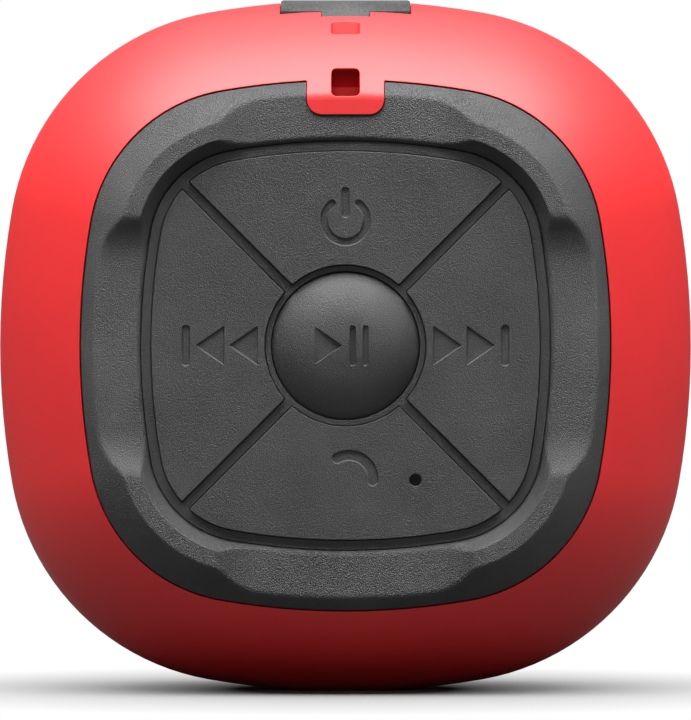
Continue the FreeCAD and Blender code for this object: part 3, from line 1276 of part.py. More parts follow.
def make_surround():
    """Rubber half roll between the cone's edge and the flange."""
    inner_edge = CONE_EDGE_RADIUS - CONE_RIM
    roll_in = CONE_EDGE_RADIUS + ROLL_START
    roll_out = BASKET_RADIUS - ROLL_INSIDE_WALL
    outer_edge = BASKET_RADIUS + ROLL_FLANGE
    low = FLANGE_FRONT
    high = low + ROLL_THICKNESS
    middle = (roll_in + roll_out) / 2
    outer_roll = (roll_out - roll_in) / 2
    inner_roll = outer_roll - ROLL_THICKNESS
    cone_top = cone_edge_y()
    wire = Part.Wire([
        line(Vector(inner_edge, cone_top, 0), Vector(roll_in + ROLL_THICKNESS, cone_top, 0)),
        line(Vector(roll_in + ROLL_THICKNESS, cone_top, 0), Vector(middle - inner_roll, low, 0)),
        arc(Vector(middle - inner_roll, low, 0), Vector(middle, low + inner_roll, 0),
            Vector(middle + inner_roll, low, 0)),
        line(Vector(middle + inner_roll, low, 0), Vector(outer_edge, low, 0)),
        line(Vector(outer_edge, low, 0), Vector(outer_edge, high, 0)),
        line(Vector(outer_edge, high, 0), Vector(middle + outer_roll + 2 * EPS, high, 0)),
        arc(Vector(middle + outer_roll + 2 * EPS, high, 0), Vector(middle, high + outer_roll, 0),
            Vector(middle - outer_roll, high, 0)),
        line(Vector(middle - outer_roll, high, 0), Vector(inner_edge, cone_top + ROLL_THICKNESS, 0)),
        line(Vector(inner_edge, cone_top + ROLL_THICKNESS, 0), Vector(inner_edge, cone_top, 0)),
    ])
    return spun(wire)


def make_spider():
    """Corrugated disc that centres the voice coil over the motor."""
    inner = COIL_RADIUS + FORMER_WALL
    outer = BASKET_FOOT_RADIUS - BASKET_WALL - BASKET_GAP / 2
    low = BASKET_FOOT_Y + BASKET_WALL
    step = (outer - SPIDER_RIM - inner) / (2 * SPIDER_WAVES)
    lower = [(inner, low + SPIDER_NECK_RISE)]
    for wave in range(1, 2 * SPIDER_WAVES):
        lower.append((inner + wave * step, low + SPIDER_LEVELS[(wave + 1) % 2]))
    lower += [(outer - SPIDER_RIM, low), (outer, low)]
    upper = [(radius, y + SPIDER_THICKNESS) for radius, y in lower]
    return spun(polygon(lower + upper[::-1]))


def make_driver_gasket():
    ring = tube(FLANGE_RADIUS, BASKET_RADIUS + BASKET_GAP, BAFFLE_Y, FLANGE_Y)
    for x, z in driver_screw_places():
        ring = ring.cut(cylinder(SCREW_RADIUS + FLANGE_HOLE_GAP, BAFFLE_Y - 1, FLANGE_Y + 1, x, z))
    return ring


# ================= port cover =================

def cover_profile(rear):
    """Side view of the cover as (height, y): it follows the barrel and ends in a half round at the hinge."""
    outer_inset, inner_inset = -COVER_PROUD, COVER_WALL - COVER_PROUD
    hinge = hinge_point()
    hinge_top = Vector(hinge.x + COVER_WALL / 2, hinge.y, 0)
    hinge_low = Vector(hinge.x - COVER_WALL / 2, hinge.y, 0)
    rear_top = Vector(crown_height(rear, outer_inset), rear, 0)
    low_rear = rear + COVER_UNDERCUT
    rear_low = Vector(crown_height(low_rear, inner_inset), low_rear, 0)
    middle = rear / 2
    return Part.Wire([
        arc(rear_top, Vector(crown_height(middle, outer_inset), middle, 0), hinge_top),
        arc(hinge_top, Vector(hinge.x, hinge.y + COVER_WALL / 2, 0), hinge_low),
        arc(hinge_low, Vector(crown_height(middle, inner_inset), middle, 0), rear_low),
        line(rear_low, rear_top),
    ])


def hinge_point():
    """Hinge line of the port cover as (height, y), in the middle of the cover's wall."""
    return Vector(crown_height(COVER_FRONT, COVER_WALL / 2 - COVER_PROUD), COVER_FRONT, 0)


def make_port_cover():
    """Rubber flap with a finger tab and two short plugs."""
    flap = across(cover_profile(COVER_REAR), COVER_HALF)
    tab = across(cover_profile(COVER_REAR - COVER_TAB_REACH), COVER_TAB_HALF)
    plug_low = socket_mouth_z() - PLUG_LENGTH
    plug_high = HALF - COVER_WALL + 0.3
    usb_y = MAIN_BOARD_Y - USB_HEIGHT / 2
    usb_half = USB_WIDTH / 2 - USB_SHELL - PLUG_PLAY
    usb_reach = USB_HEIGHT / 2 - USB_SHELL - PLUG_PLAY
    usb = box(USB_X - usb_half, USB_X + usb_half, usb_y - usb_reach, usb_y + usb_reach, plug_low, plug_high)
    jack = Part.makeCylinder(JACK_BORE_RADIUS - PLUG_PLAY, plug_high - plug_low,
                             Vector(JACK_X, MAIN_BOARD_Y - JACK_HEIGHT / 2, plug_low), Vector(0, 0, 1))
    return fuse([flap, tab, usb, jack])


def make_port_cover_anchor():
    """Tail of the cover's moulding, beyond its fold."""
    return anchor_block(0.0)


# ================= fasteners =================

def screw(x, z, head_y, side, length, radius, head_radius, head_height):
    """Pan-head screw along Y whose head sits on the plane head_y; side is +1 where the head faces +Y."""
    head = cylinder(head_radius, min(head_y, head_y + side * head_height), max(head_y, head_y + side * head_height),
                    x, z)
    end = head_y - side * length
    shaft = cylinder(radius, min(head_y, end), max(head_y, end), x, z)
    slot_y = head_y + side * head_height
    slot_end = slot_y - side * SLOT_DEPTH
    reach = head_radius * SLOT_REACH
    slot = box(x - reach, x + reach, min(slot_y, slot_end), max(slot_y, slot_end), z - SLOT_HALF, z + SLOT_HALF)
    cross = slot.copy()
    cross.rotate(Vector(x, 0, z), Y_AXIS, 90)
    return head.fuse(shaft).removeSplitter().cut(slot).cut(cross)


def small_screws(places, head_y, length):
    return Part.makeCompound([
        screw(x, z, head_y, 1, length, SCREW_RADIUS, SCREW_HEAD_RADIUS, SCREW_HEAD_HEIGHT) for x, z in places])


def control_screw_places():
    return [(x * CONTROL_SCREW_OFFSET, z * CONTROL_SCREW_OFFSET) for x, z in DIAGONALS]


def make_control_board_screws():
    return small_screws(control_screw_places(), BOARD_BACK, BOARD_THICKNESS + BOARD_STANDOFF - 0.5)


def make_bracket_screws():
    return small_screws([(x * BRACKET_POST_X, BATTERY_MID_Z) for x in (1, -1)], BATTERY_Y,
                        BRACKET_THICKNESS + THREAD_LENGTH)


def make_main_board_screws():
    places = [(x * MAIN_SCREW_X, MAIN_SCREW_Z) for x in (1, -1)]
    return small_screws(places, MAIN_BOARD_Y + BOARD_THICKNESS, BOARD_THICKNESS + THREAD_LENGTH)


def make_driver_screws():
    return small_screws(driver_screw_places(), FLANGE_FRONT, FLANGE_THICKNESS + FOAM_THICKNESS + BAFFLE_THICKNESS + 2)


def make_case_screws():
    return Part.makeCompound([
        screw(x * CASE_SCREW_OFFSET, z * CASE_SCREW_OFFSET, BAFFLE_Y, 1, CASE_SCREW_LENGTH, CASE_SCREW_RADIUS,
              CASE_SCREW_HEAD_RADIUS, CASE_SCREW_HEAD_HEIGHT) for x, z in DIAGONALS])


def screw_shafts_in_rear_housing():
    """Pilot holes in the rear housing, as deep as the screws that use them reach."""
    thread = THREAD_LENGTH + THREAD_ROOM
    holes = [cylinder(SCREW_RADIUS, BULKHEAD_BACK + 0.3, BOARD_Y + 1, x, z) for x, z in control_screw_places()]
    holes += [cylinder(SCREW_RADIUS, BRACKET_Y - thread, BRACKET_Y + 1, x * BRACKET_POST_X, BATTERY_MID_Z)
              for x in (1, -1)]
    holes += [cylinder(SCREW_RADIUS, MAIN_BOARD_Y - thread, MAIN_BOARD_Y + 1, x * MAIN_SCREW_X, MAIN_SCREW_Z)
              for x in (1, -1)]
    holes += [cylinder(CASE_SCREW_RADIUS, BAFFLE_Y - CASE_SCREW_LENGTH - THREAD_ROOM, SPLIT_Y + 1,
                       x * CASE_SCREW_OFFSET, z * CASE_SCREW_OFFSET) for x, z in DIAGONALS]
    return holes


# ================= write every piece =================

PIECES = {
    "outer_sleeve": make_outer_sleeve,
    "rear_frame": make_rear_frame,
    "rear_housing": make_rear_housing,
    "front_housing": make_front_housing,
    "housing_gasket": make_housing_gasket,
    "front_bezel": make_front_bezel,
    "grille": make_grille,
    "grille_cloth": make_grille_cloth,
    "keypad_membrane": make_keypad_membrane,
    "power_key": make_power_key,
    "previous_key": make_previous_key,
    "next_key": make_next_key,
    "call_key": make_call_key,
    "play_pause_key": make_play_pause_key,
    "control_board": make_control_board,
    "switch_bodies": make_switch_bodies,
    "microphone": make_microphone,
    "microphone_boot": make_microphone_boot,
    "main_board": make_main_board,
    "usb_socket": make_usb_socket,
    "aux_jack": make_aux_jack,
    "radio_module": make_radio_module,
    "amplifier_chip": make_amplifier_chip,
    "inductors": make_inductors,
    "capacitors": make_capacitors,
    "ribbon_connectors": make_ribbon_connectors,
    "ribbon_cable": make_ribbon_cable,
    "battery": make_battery,
    "battery_bracket": make_battery_bracket,
    "battery_leads": make_battery_leads,
    "speaker_leads": make_speaker_leads,
    "driver_frame": make_driver_frame,
    "driver_terminals": make_driver_terminals,
    "driver_yoke": make_driver_yoke,
    "driver_magnet": make_driver_magnet,
    "driver_pole_piece": make_driver_pole_piece,
    "voice_coil": make_voice_coil,
    "cone": make_cone,
    "dust_cap": make_dust_cap,
    "surround": make_surround,
    "spider": make_spider,
    "driver_gasket": make_driver_gasket,
    "port_cover": make_port_cover,
    "port_cover_anchor": make_port_cover_anchor,
    "control_board_screws": make_control_board_screws,
    "bracket_screws": make_bracket_screws,
    "main_board_screws": make_main_board_screws,
    "driver_screws": make_driver_screws,
    "case_screws": make_case_screws,
}


def write(name, shape):
    shape.translate(Vector(0, 0, FOOT_TO_MIDDLE))
    print(name, "solids", len(shape.Solids), "valid", shape.isValid(), "volume", round(shape.Volume, 1))
    shape.exportStep(os.path.join("parts", name + ".step"))


os.makedirs("parts", exist_ok=True)
for piece_name, make_piece in PIECES.items():
    write(piece_name, make_piece())
for switch_name in KEY_POSTS:
    write(switch_name + "_plunger", switch_plunger(switch_name))
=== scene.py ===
"""Looks of a palm-sized wireless speaker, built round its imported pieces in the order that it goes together.

Sizes are millimetres about the middle of the body: x to the right as the keys are faced, y from the keys
(negative) to the grille (positive), z up. at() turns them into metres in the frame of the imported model.
"""
import math

import bmesh
import bpy
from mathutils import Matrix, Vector


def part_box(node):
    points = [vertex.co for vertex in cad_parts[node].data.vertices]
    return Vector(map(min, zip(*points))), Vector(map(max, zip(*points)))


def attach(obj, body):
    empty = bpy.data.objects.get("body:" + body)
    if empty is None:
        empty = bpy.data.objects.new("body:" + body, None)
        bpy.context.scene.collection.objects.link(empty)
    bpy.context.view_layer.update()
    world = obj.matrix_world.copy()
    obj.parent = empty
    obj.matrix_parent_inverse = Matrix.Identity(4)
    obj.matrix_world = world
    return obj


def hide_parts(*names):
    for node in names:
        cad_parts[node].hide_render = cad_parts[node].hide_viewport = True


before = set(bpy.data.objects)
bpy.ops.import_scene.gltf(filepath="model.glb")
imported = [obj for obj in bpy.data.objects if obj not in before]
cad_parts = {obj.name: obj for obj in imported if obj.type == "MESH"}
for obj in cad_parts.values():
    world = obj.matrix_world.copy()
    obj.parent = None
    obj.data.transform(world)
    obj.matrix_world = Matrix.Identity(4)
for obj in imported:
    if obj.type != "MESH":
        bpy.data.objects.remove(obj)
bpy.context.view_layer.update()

# ================= outer sleeve =================
# A soft-touch silicone sleeve that wraps the barrel of the body like a belt. It is moulded in one piece with
# the tongue that crosses the rear frame and with the tunnel for a wrist loop.
MM = 0.001
sleeve_low, sleeve_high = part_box("outer_sleeve")
bezel_low, bezel_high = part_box("front_bezel")
MIDDLE = Vector((0.0, 0.0, (bezel_low.z + bezel_high.z) / 2))
HALF = sleeve_high.x / MM
RIDGE_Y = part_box("rear_frame")[0].y / MM
SIDE_ANGLE = 10.0
SIDE_REACH = 62.04
CROWN_RADIUS, SHOULDER_RADIUS, SLOPE_RADIUS = 17.0, 43.9, 39.1
CROWN_TILT, SEAM_TILT, RIDGE_TILT = 64.0, 42.0, 34.0
SLEEVE_WALL = 1.8
LIP = 0.22
STEP_Y = -22.9
BACK_Y = -19.8
TONGUE_HALF, TONGUE_CORNER, TONGUE_END = 5.25, 2.0, 31.4
SLOT_HALF, SLOT_CORNER = 1.95, 0.7
SLOT_LOW, SLOT_HIGH = 33.9, 37.8
UPPER_SLOT = (55.0, 59.4)
SLOT_LEAN = 1.3
SLOT_OVER, SLOT_INTO = 1.2, 0.3
TUNNEL_ROOF, TUNNEL_FLOOR, TUNNEL_WALL = 1.9, 3.6, 1.6
COVER_HALF, COVER_REAR, COVER_FRONT = 8.95, -8.0, 4.13
TAB_HALF, TAB_REACH = 3.3, 1.4
COVER_GAP = 0.08
CUT_Y, CUT_UNDER, CUT_OVER = -30.0, 8.0, 5.0
CREASE_ROUND = 2.0
SEAM_FRONT_Y, SEAM_REACH = -20.6, 37.0
JOIN = 0.3


def sin(degrees):
    return math.sin(math.radians(degrees))


def cos(degrees):
    return math.cos(math.radians(degrees))


CORNER_LOSS = SIDE_REACH * (1 + sin(SIDE_ANGLE) - cos(SIDE_ANGLE)) / (cos(SIDE_ANGLE) - sin(SIDE_ANGLE))
CORNER_CENTRE = (SIDE_REACH + CORNER_LOSS) * sin(SIDE_ANGLE)


def at(x, y, z):
    """Point of the body in metres, from millimetres about its middle."""
    return Vector((x, y, z)) * MM + MIDDLE


def barrel(tilt, inset, belt):
    """(half-width, y) of the barrel curve where it leans this much, inset along its normal."""
    mirrored = tilt > 90
    tilt = 180 - tilt if mirrored else tilt
    half, y, radius = HALF - CROWN_RADIUS, -belt / 2, CROWN_RADIUS
    for limit, wider in ((CROWN_TILT, SHOULDER_RADIUS), (SEAM_TILT, SLOPE_RADIUS)):
        if tilt < limit:
            half += (radius - wider) * sin(limit)
            y -= (radius - wider) * cos(limit)
            radius = wider
    half += (radius - inset) * sin(tilt)
    y -= (radius - inset) * cos(tilt)
    return (half, -y) if mirrored else (half, y)


BELT = 2 * (barrel(RIDGE_TILT, 0.0, 0.0)[1] - RIDGE_Y)


def skin(tilt, inset=0.0):
    return barrel(tilt, inset, BELT)


def skin_run(first, last, step, inset=0.0):
    """Points of the barrel curve from one tilt to another."""
    count = max(1, round(abs(last - first) / step))
    return [skin(first + (last - first) * i / count, inset) for i in range(count + 1)]


def softened(points, radius, corners, steps=4):
    """The closed outline with an arc of this radius in place of each listed corner."""
    made = []
    for index, point in enumerate(points):
        if index not in corners:
            made.append(point)
            continue
        corner = Vector(point)
        back = (Vector(points[index - 1]) - corner).normalized()
        ahead = (Vector(points[(index + 1) % len(points)]) - corner).normalized()
        half_angle = back.angle(ahead) / 2
        centre = corner + (back + ahead).normalized() * (radius / math.sin(half_angle))
        start = corner + back * (radius / math.tan(half_angle)) - centre
        end = corner + ahead * (radius / math.tan(half_angle)) - centre
        for step in range(steps + 1):
            turned = start.normalized().slerp(end.normalized(), step / steps)
            made.append(tuple(centre + turned * radius))
    return made


def activate(piece):
    bpy.ops.object.select_all(action="DESELECT")
    piece.select_set(True)
    bpy.context.view_layer.objects.active = piece


def drawn(name, points):
    """A line of edges through the points, left selected in edit mode."""
    bpy.ops.object.select_all(action="DESELECT")
    bpy.ops.mesh.primitive_plane_add(size=MM, location=points[0])
    piece = bpy.context.object
    piece.name = piece.data.name = name
    bpy.ops.object.transform_apply(location=True)
    bpy.ops.object.mode_set(mode="EDIT")
    bpy.ops.mesh.merge(type="CENTER")
    for first, last in zip(points, points[1:]):
        bpy.ops.mesh.extrude_region_move(TRANSFORM_OT_translate={"value": last - first})
    bpy.ops.mesh.select_all(action="SELECT")
    return piece


def close_mesh():
    """Merge what coincides, point every face outwards and leave edit mode."""
    bpy.ops.mesh.select_all(action="SELECT")
    bpy.ops.mesh.remove_doubles(threshold=MM / 500)
    bpy.ops.mesh.normals_make_consistent(inside=False)
    if bmesh.from_edit_mesh(bpy.context.object.data).calc_volume(signed=True) < 0:
        bpy.ops.mesh.flip_normals()
    bpy.ops.object.mode_set(mode="OBJECT")


def spin_round(side_steps, corner_steps):
    """Carry the selected section round the rounded square: four sides and four corners."""
    diagonal = CORNER_CENTRE * math.sqrt(2)
    for turn in range(4):
        side = at(-SIDE_REACH * cos(90 * turn), 0, -SIDE_REACH * sin(90 * turn))
        corner = at(diagonal * cos(90 * turn + 45), 0, diagonal * sin(90 * turn + 45))
        bpy.ops.mesh.spin(steps=side_steps, angle=math.radians(2 * SIDE_ANGLE), center=side, axis=(0, 1, 0))
        bpy.ops.mesh.spin(steps=corner_steps, angle=math.radians(90 - 2 * SIDE_ANGLE), center=corner,
                          axis=(0, 1, 0))


def at_side_start(half, y):
    """Place of a (half-width, y) point where the right-hand side begins."""
    reach = SIDE_REACH + half
    return at(reach * cos(SIDE_ANGLE) - SIDE_REACH, y, -reach * sin(SIDE_ANGLE))


def ring(name, outline, side_steps, corner_steps):
    """A closed (half-width, y) outline carried all the way round the body."""
    points = [at_side_start(half, y) for half, y in outline]
    piece = drawn(name, points + points[:1])
    bpy.ops.mesh.remove_doubles(threshold=MM / 500)
    bpy.ops.mesh.select_all(action="SELECT")
    spin_round(side_steps, corner_steps)
    close_mesh()
    return piece


def plate(name, half, y0, y1, side_steps=16, corner_steps=24):
    """A flat rounded-square plate."""
    piece = drawn(name, [at_side_start(half, y0)])
    spin_round(side_steps, corner_steps)
    bpy.ops.mesh.select_all(action="SELECT")
    bpy.ops.mesh.remove_doubles(threshold=MM / 500)
    bpy.ops.mesh.edge_face_add()
    bpy.ops.mesh.extrude_region_move(TRANSFORM_OT_translate={"value": (0, (y1 - y0) * MM, 0)})
    close_mesh()
    return piece


def extruded(name, points, along):
    """A closed flat outline of points, pushed out to a solid."""
    piece = drawn(name, points + points[:1])
    bpy.ops.mesh.remove_doubles(threshold=MM / 500)
    bpy.ops.mesh.select_all(action="SELECT")
    bpy.ops.mesh.edge_face_add()
    bpy.ops.mesh.extrude_region_move(TRANSFORM_OT_translate={"value": along})
    close_mesh()
    return piece


def block(name, x0, x1, y0, y1, z0, z1):
    bpy.ops.object.select_all(action="DESELECT")
    bpy.ops.mesh.primitive_cube_add(size=1, location=at((x0 + x1) / 2, (y0 + y1) / 2, (z0 + z1) / 2),
                                    scale=Vector((x1 - x0, y1 - y0, z1 - z0)) * MM)
    piece = bpy.context.object
    piece.name = piece.data.name = name
    bpy.ops.object.transform_apply(location=True, scale=True)
    return piece


def rod(name, radius, y0, y1, x=0.0, z=0.0, sides=144):
    """A cylinder along y."""
    bpy.ops.object.select_all(action="DESELECT")
    bpy.ops.mesh.primitive_cylinder_add(vertices=sides, radius=radius * MM, depth=(y1 - y0) * MM,
                                        location=at(x, (y0 + y1) / 2, z), rotation=(math.radians(90), 0, 0))
    piece = bpy.context.object
    piece.name = piece.data.name = name
    bpy.ops.object.transform_apply(location=True, rotation=True)
    return piece


def bevel_where(piece, chosen, offset, segments, sharp=25.0, clamped=True):
    """Round the edges that are sharp and whose (direction, middle in millimetres) are chosen."""
    activate(piece)
    bpy.ops.object.mode_set(mode="EDIT")
    bpy.ops.mesh.select_mode(type="EDGE")
    bpy.ops.mesh.select_all(action="DESELECT")
    mesh = bmesh.from_edit_mesh(piece.data)
    for edge in mesh.edges:
        first, last = edge.verts[0].co, edge.verts[1].co
        middle = ((first + last) / 2 - MIDDLE) / MM
        if len(edge.link_faces) == 2 and math.degrees(edge.calc_face_angle()) > sharp:
            if chosen((last - first).normalized(), middle):
                edge.select_set(True)
    bmesh.update_edit_mesh(piece.data)
    bpy.ops.mesh.bevel(offset=offset * MM, segments=segments, affect="EDGES", clamp_overlap=clamped)
    bpy.ops.mesh.select_mode(type="VERT")
    bpy.ops.object.mode_set(mode="OBJECT")


def combine(piece, other, operation="DIFFERENCE"):
    """Cut the other solid away from the piece, join it on or keep what they share, and drop the other."""
    activate(piece)
    change = piece.modifiers.new("combine", "BOOLEAN")
    change.operation = operation
    change.solver = "EXACT"
    change.use_hole_tolerant = True
    change.object = other
    bpy.ops.object.modifier_apply(modifier=change.name)
    bpy.data.objects.remove(other)
    return piece


def smooth(piece, angle):
    """Soft shading over the curves with the flat faces kept flat."""
    activate(piece)
    bpy.ops.object.shade_smooth_by_angle(angle=math.radians(angle))
    weighted = piece.modifiers.new("weighted", "WEIGHTED_NORMAL")
    weighted.keep_sharp = True
    bpy.ops.object.modifier_apply(modifier=weighted.name)


def along_y(direction, middle):
    return abs(direction.y) > 0.95


def tongue_bar(grow):
    """The strip that the tongue fills, with its two lower corners rounded."""
    bar = block("tongue_bar", -TONGUE_HALF - grow, TONGUE_HALF + grow, CUT_Y, CUT_Y / 2,
                TONGUE_END - grow, HALF)
    bevel_where(bar, lambda d, m: along_y(d, m) and m.z < TONGUE_END + 1, TONGUE_CORNER + grow, 8)
    return bar


def shoulder_sector(name, tilt0, tilt1, depth0, depth1, half_width, steps=12, lean=0.0):
    """Piece of the top shoulder between two tilts and two depths; its far wall may lean in with depth."""
    seam_half, seam_y = skin(SEAM_TILT)
    centre_half = seam_half - SHOULDER_RADIUS * sin(SEAM_TILT)
    centre_y = seam_y + SHOULDER_RADIUS * cos(SEAM_TILT)
    outline = []
    for depth, tilts in ((depth0, range(steps + 1)), (depth1, range(steps, -1, -1))):
        for step in tilts:
            tilt = tilt0 + (tilt1 - lean * depth - tilt0) * step / steps
            reach = SHOULDER_RADIUS - depth
            outline.append(at(-half_width, centre_y - reach * cos(tilt), centre_half + reach * sin(tilt)))
    return extruded(name, outline, (2 * half_width * MM, 0, 0))


def tilt_where(y):
    """Tilt of the outer slope where it crosses this depth."""
    low, high = RIDGE_TILT - 4, SEAM_TILT
    for _ in range(30):
        middle = (low + high) / 2
        low, high = (middle, high) if skin(middle)[1] < y else (low, middle)
    return low


def sleeve_outline():
    inner_end = TONGUE_END - 1.4
    outline = [(inner_end, STEP_Y)] + skin_run(tilt_where(STEP_Y), SEAM_TILT, 1.5)
    crease = 1
    outline += skin_run(SEAM_TILT, CROWN_TILT, 2.2)[1:] + skin_run(CROWN_TILT, 90.0, 2.6)[1:]
    outline += skin_run(90.001, 180 - CROWN_TILT, 2.6) + skin_run(180 - CROWN_TILT, 180 - SEAM_TILT, 2.2)[1:]
    front_lip = len(outline) - 1
    outline += skin_run(180 - SEAM_TILT, SEAM_TILT, 6.0, SLEEVE_WALL) + [(inner_end, BACK_Y)]
    outline = softened(outline, LIP, [front_lip], 3)
    return softened(outline, CREASE_ROUND, [crease], 7)


sleeve = ring("outer_sleeve_skin", sleeve_outline(), 12, 22)
opening = plate("opening", skin(SEAM_TILT)[0], CUT_Y, BACK_Y + 2 * JOIN, 12, 22)
combine(opening, tongue_bar(0.0))
combine(sleeve, opening)
loop_block = shoulder_sector("loop_block", SEAM_TILT - 8, UPPER_SLOT[1] + 2, SLEEVE_WALL / 2,
                             TUNNEL_FLOOR + TUNNEL_WALL, SLOT_HALF + TUNNEL_WALL)
combine(loop_block, block("below", -HALF, HALF, -HALF, HALF, 0, TONGUE_END + JOIN))
combine(loop_block, block("behind", -HALF, HALF, -HALF, STEP_Y + SLEEVE_WALL / 2, 0, HALF))
combine(sleeve, loop_block, "UNION")
slot = block("lower_slot", -SLOT_HALF, SLOT_HALF, -30, -17, SLOT_LOW, SLOT_HIGH)
bevel_where(slot, along_y, SLOT_CORNER, 5)
combine(sleeve, slot)
upper = shoulder_sector("upper_slot", *UPPER_SLOT, -SLOT_OVER, TUNNEL_ROOF + SLOT_INTO, SLOT_HALF, 1,
                        SLOT_LEAN)
out_of_skin = Vector((0, -cos(UPPER_SLOT[0]), sin(UPPER_SLOT[0])))
bevel_where(upper, lambda d, m: abs(m.x) > SLOT_HALF - 0.1 and abs(d.x) < 0.3 and abs(d.dot(out_of_skin)) > 0.6,
            SLOT_CORNER, 5)
combine(sleeve, upper)
combine(sleeve, shoulder_sector("tunnel", SEAM_TILT - 1, UPPER_SLOT[1] - 0.3, TUNNEL_ROOF, TUNNEL_FLOOR,
                                SLOT_HALF - 0.05))
combine(sleeve, block("cover_opening", -COVER_HALF - COVER_GAP, COVER_HALF + COVER_GAP,
                      COVER_REAR - COVER_GAP, COVER_FRONT, HALF - CUT_UNDER, HALF + CUT_OVER))
combine(sleeve, block("tab_notch", -TAB_HALF - COVER_GAP, TAB_HALF + COVER_GAP,
                      COVER_REAR - TAB_REACH - COVER_GAP, 0, HALF - CUT_UNDER, HALF + CUT_OVER))
combine(sleeve, block("foot", -HALF, HALF, -HALF, HALF, -HALF - CUT_OVER, -MIDDLE.z / MM))
bevel_where(sleeve, lambda d, m: m.y < SEAM_FRONT_Y and max(abs(m.x), abs(m.z)) < SEAM_REACH and not (
    abs(m.x) < TONGUE_HALF + 0.1 and m.z > 0), LIP, 3, clamped=False)
smooth(sleeve, 30.0)


DRIFT_SIZE = 9.0


def finish(name, colour, roughness, metallic=0.0, grain=0.3, depth=0.02, mottle=0.12, rough_swing=0.08,
           specular=0.5, edge=0.0):
    """A moulded, rolled or coated surface: its colour drifts, its gloss varies and it has a fine grain.

    grain is the size of the texture, depth its height and edge the softness of sharp edges, in millimetres.
    """
    material = bpy.data.materials.new(name)
    material.use_nodes = True
    nodes, links = material.node_tree.nodes, material.node_tree.links
    shader = nodes["Principled BSDF"]
    shader.inputs["Metallic"].default_value = metallic
    shader.inputs["Specular IOR Level"].default_value = specular
    place = nodes.new("ShaderNodeTexCoord")
    drift = nodes.new("ShaderNodeTexNoise")
    drift.inputs["Scale"].default_value = 1 / (DRIFT_SIZE * MM)
    drift.inputs["Detail"].default_value = 4
    fine = nodes.new("ShaderNodeTexNoise")
    fine.inputs["Scale"].default_value = 1 / (grain * MM)
    fine.inputs["Detail"].default_value = 3
    links.new(place.outputs["Object"], drift.inputs["Vector"])
    links.new(place.outputs["Object"], fine.inputs["Vector"])
    both = nodes.new("ShaderNodeMath")
    both.operation = "ADD"
    links.new(drift.outputs["Fac"], both.inputs[0])
    links.new(fine.outputs["Fac"], both.inputs[1])
    ramp = nodes.new("ShaderNodeMapRange")
    ramp.inputs["From Min"].default_value = 0.6
    ramp.inputs["From Max"].default_value = 1.4
    links.new(both.outputs[0], ramp.inputs["Value"])
    mix = nodes.new("ShaderNodeMix")
    mix.data_type = "RGBA"
    mix.inputs["A"].default_value = [c * (1 - mottle) for c in colour] + [1]
    mix.inputs["B"].default_value = [min(1, c * (1 + mottle)) for c in colour] + [1]
    links.new(ramp.outputs["Result"], mix.inputs["Factor"])
    links.new(mix.outputs["Result"], shader.inputs["Base Color"])
    gloss = nodes.new("ShaderNodeMapRange")
    gloss.inputs["To Min"].default_value = roughness - rough_swing
    gloss.inputs["To Max"].default_value = roughness + rough_swing
    links.new(fine.outputs["Fac"], gloss.inputs["Value"])
    links.new(gloss.outputs["Result"], shader.inputs["Roughness"])
    bump = nodes.new("ShaderNodeBump")
    bump.inputs["Strength"].default_value = 1.0
    bump.inputs["Distance"].default_value = depth * MM
    links.new(fine.outputs["Fac"], bump.inputs["Height"])
    links.new(bump.outputs["Normal"], shader.inputs["Normal"])
    if edge:
        soft_edge = nodes.new("ShaderNodeBevel")
        soft_edge.samples = 8
        soft_edge.inputs["Radius"].default_value = edge * MM
        links.new(soft_edge.outputs["Normal"], bump.inputs["Normal"])
    return material


def coat(piece, material):
    piece.data.materials.clear()
    piece.data.materials.append(material)


red_silicone = finish("red_silicone", (0.52, 0.016, 0.018), 0.50, grain=0.22, depth=0.004, mottle=0.05,
                      rough_swing=0.05, specular=0.38, edge=0.2)
coat(sleeve, red_silicone)
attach(sleeve, "case")
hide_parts("outer_sleeve")

# ================= rear frame =================
# A hard black ring, moulded with a coarse sparkling texture. It steps down from the seam over a ridge to the
# keypad, and four finger pockets are pressed into the ridge.
SEAM_GAP = 0.2
RIDGE_INNER = 29.6
CHANNEL_HALF, CHANNEL_Y = 27.9, -22.15
POCKET_Y = -22.7
POCKET_FLAT, RAMP_RADIUS, RAMP_ANGLE = 11.6, 10.0, 30.0
POCKET_SOFTNESS = 0.30
WALL_STEPS = 6
CREST_ROUND, SEAM_ROUND, NOTCH_ROUND = 0.22, 0.12, 0.14
TONGUE_GAP = 0.1


def slope_outline(inner_points, ridge_inner, ridge_steps):
    """Closed outline of an end frame: outer slope, rounded crest, flat ridge, then the inner points."""
    crest_tilt = RIDGE_TILT + 0.3
    slope = skin_run(SEAM_TILT - math.degrees(SEAM_GAP / SLOPE_RADIUS), crest_tilt, 0.45)
    soft_half, soft_y = slope[-1]
    radius = (soft_y - RIDGE_Y) / (1 - cos(crest_tilt))
    crest = [(soft_half - radius * (sin(crest_tilt) - sin(tilt)), RIDGE_Y + radius * (1 - cos(tilt)))
             for tilt in (25.0, 16.0, 8.0, 0.0)]
    width = crest[-1][0] - ridge_inner
    ridge = [(crest[-1][0] - width * step / ridge_steps, RIDGE_Y) for step in range(1, ridge_steps + 1)]
    return slope + crest + ridge + inner_points, len(slope + crest + ridge) - 1


def pocket_depth(along):
    """Depth (y) of the pocket's surface at this distance from the middle of its side."""
    past = max(0.0, abs(along) - POCKET_FLAT)
    bend = RAMP_RADIUS * sin(RAMP_ANGLE)
    if past < bend:
        return POCKET_Y - RAMP_RADIUS + math.sqrt(RAMP_RADIUS ** 2 - past ** 2)
    return POCKET_Y - RAMP_RADIUS * (1 - cos(RAMP_ANGLE)) - (past - bend) * math.tan(math.radians(RAMP_ANGLE))


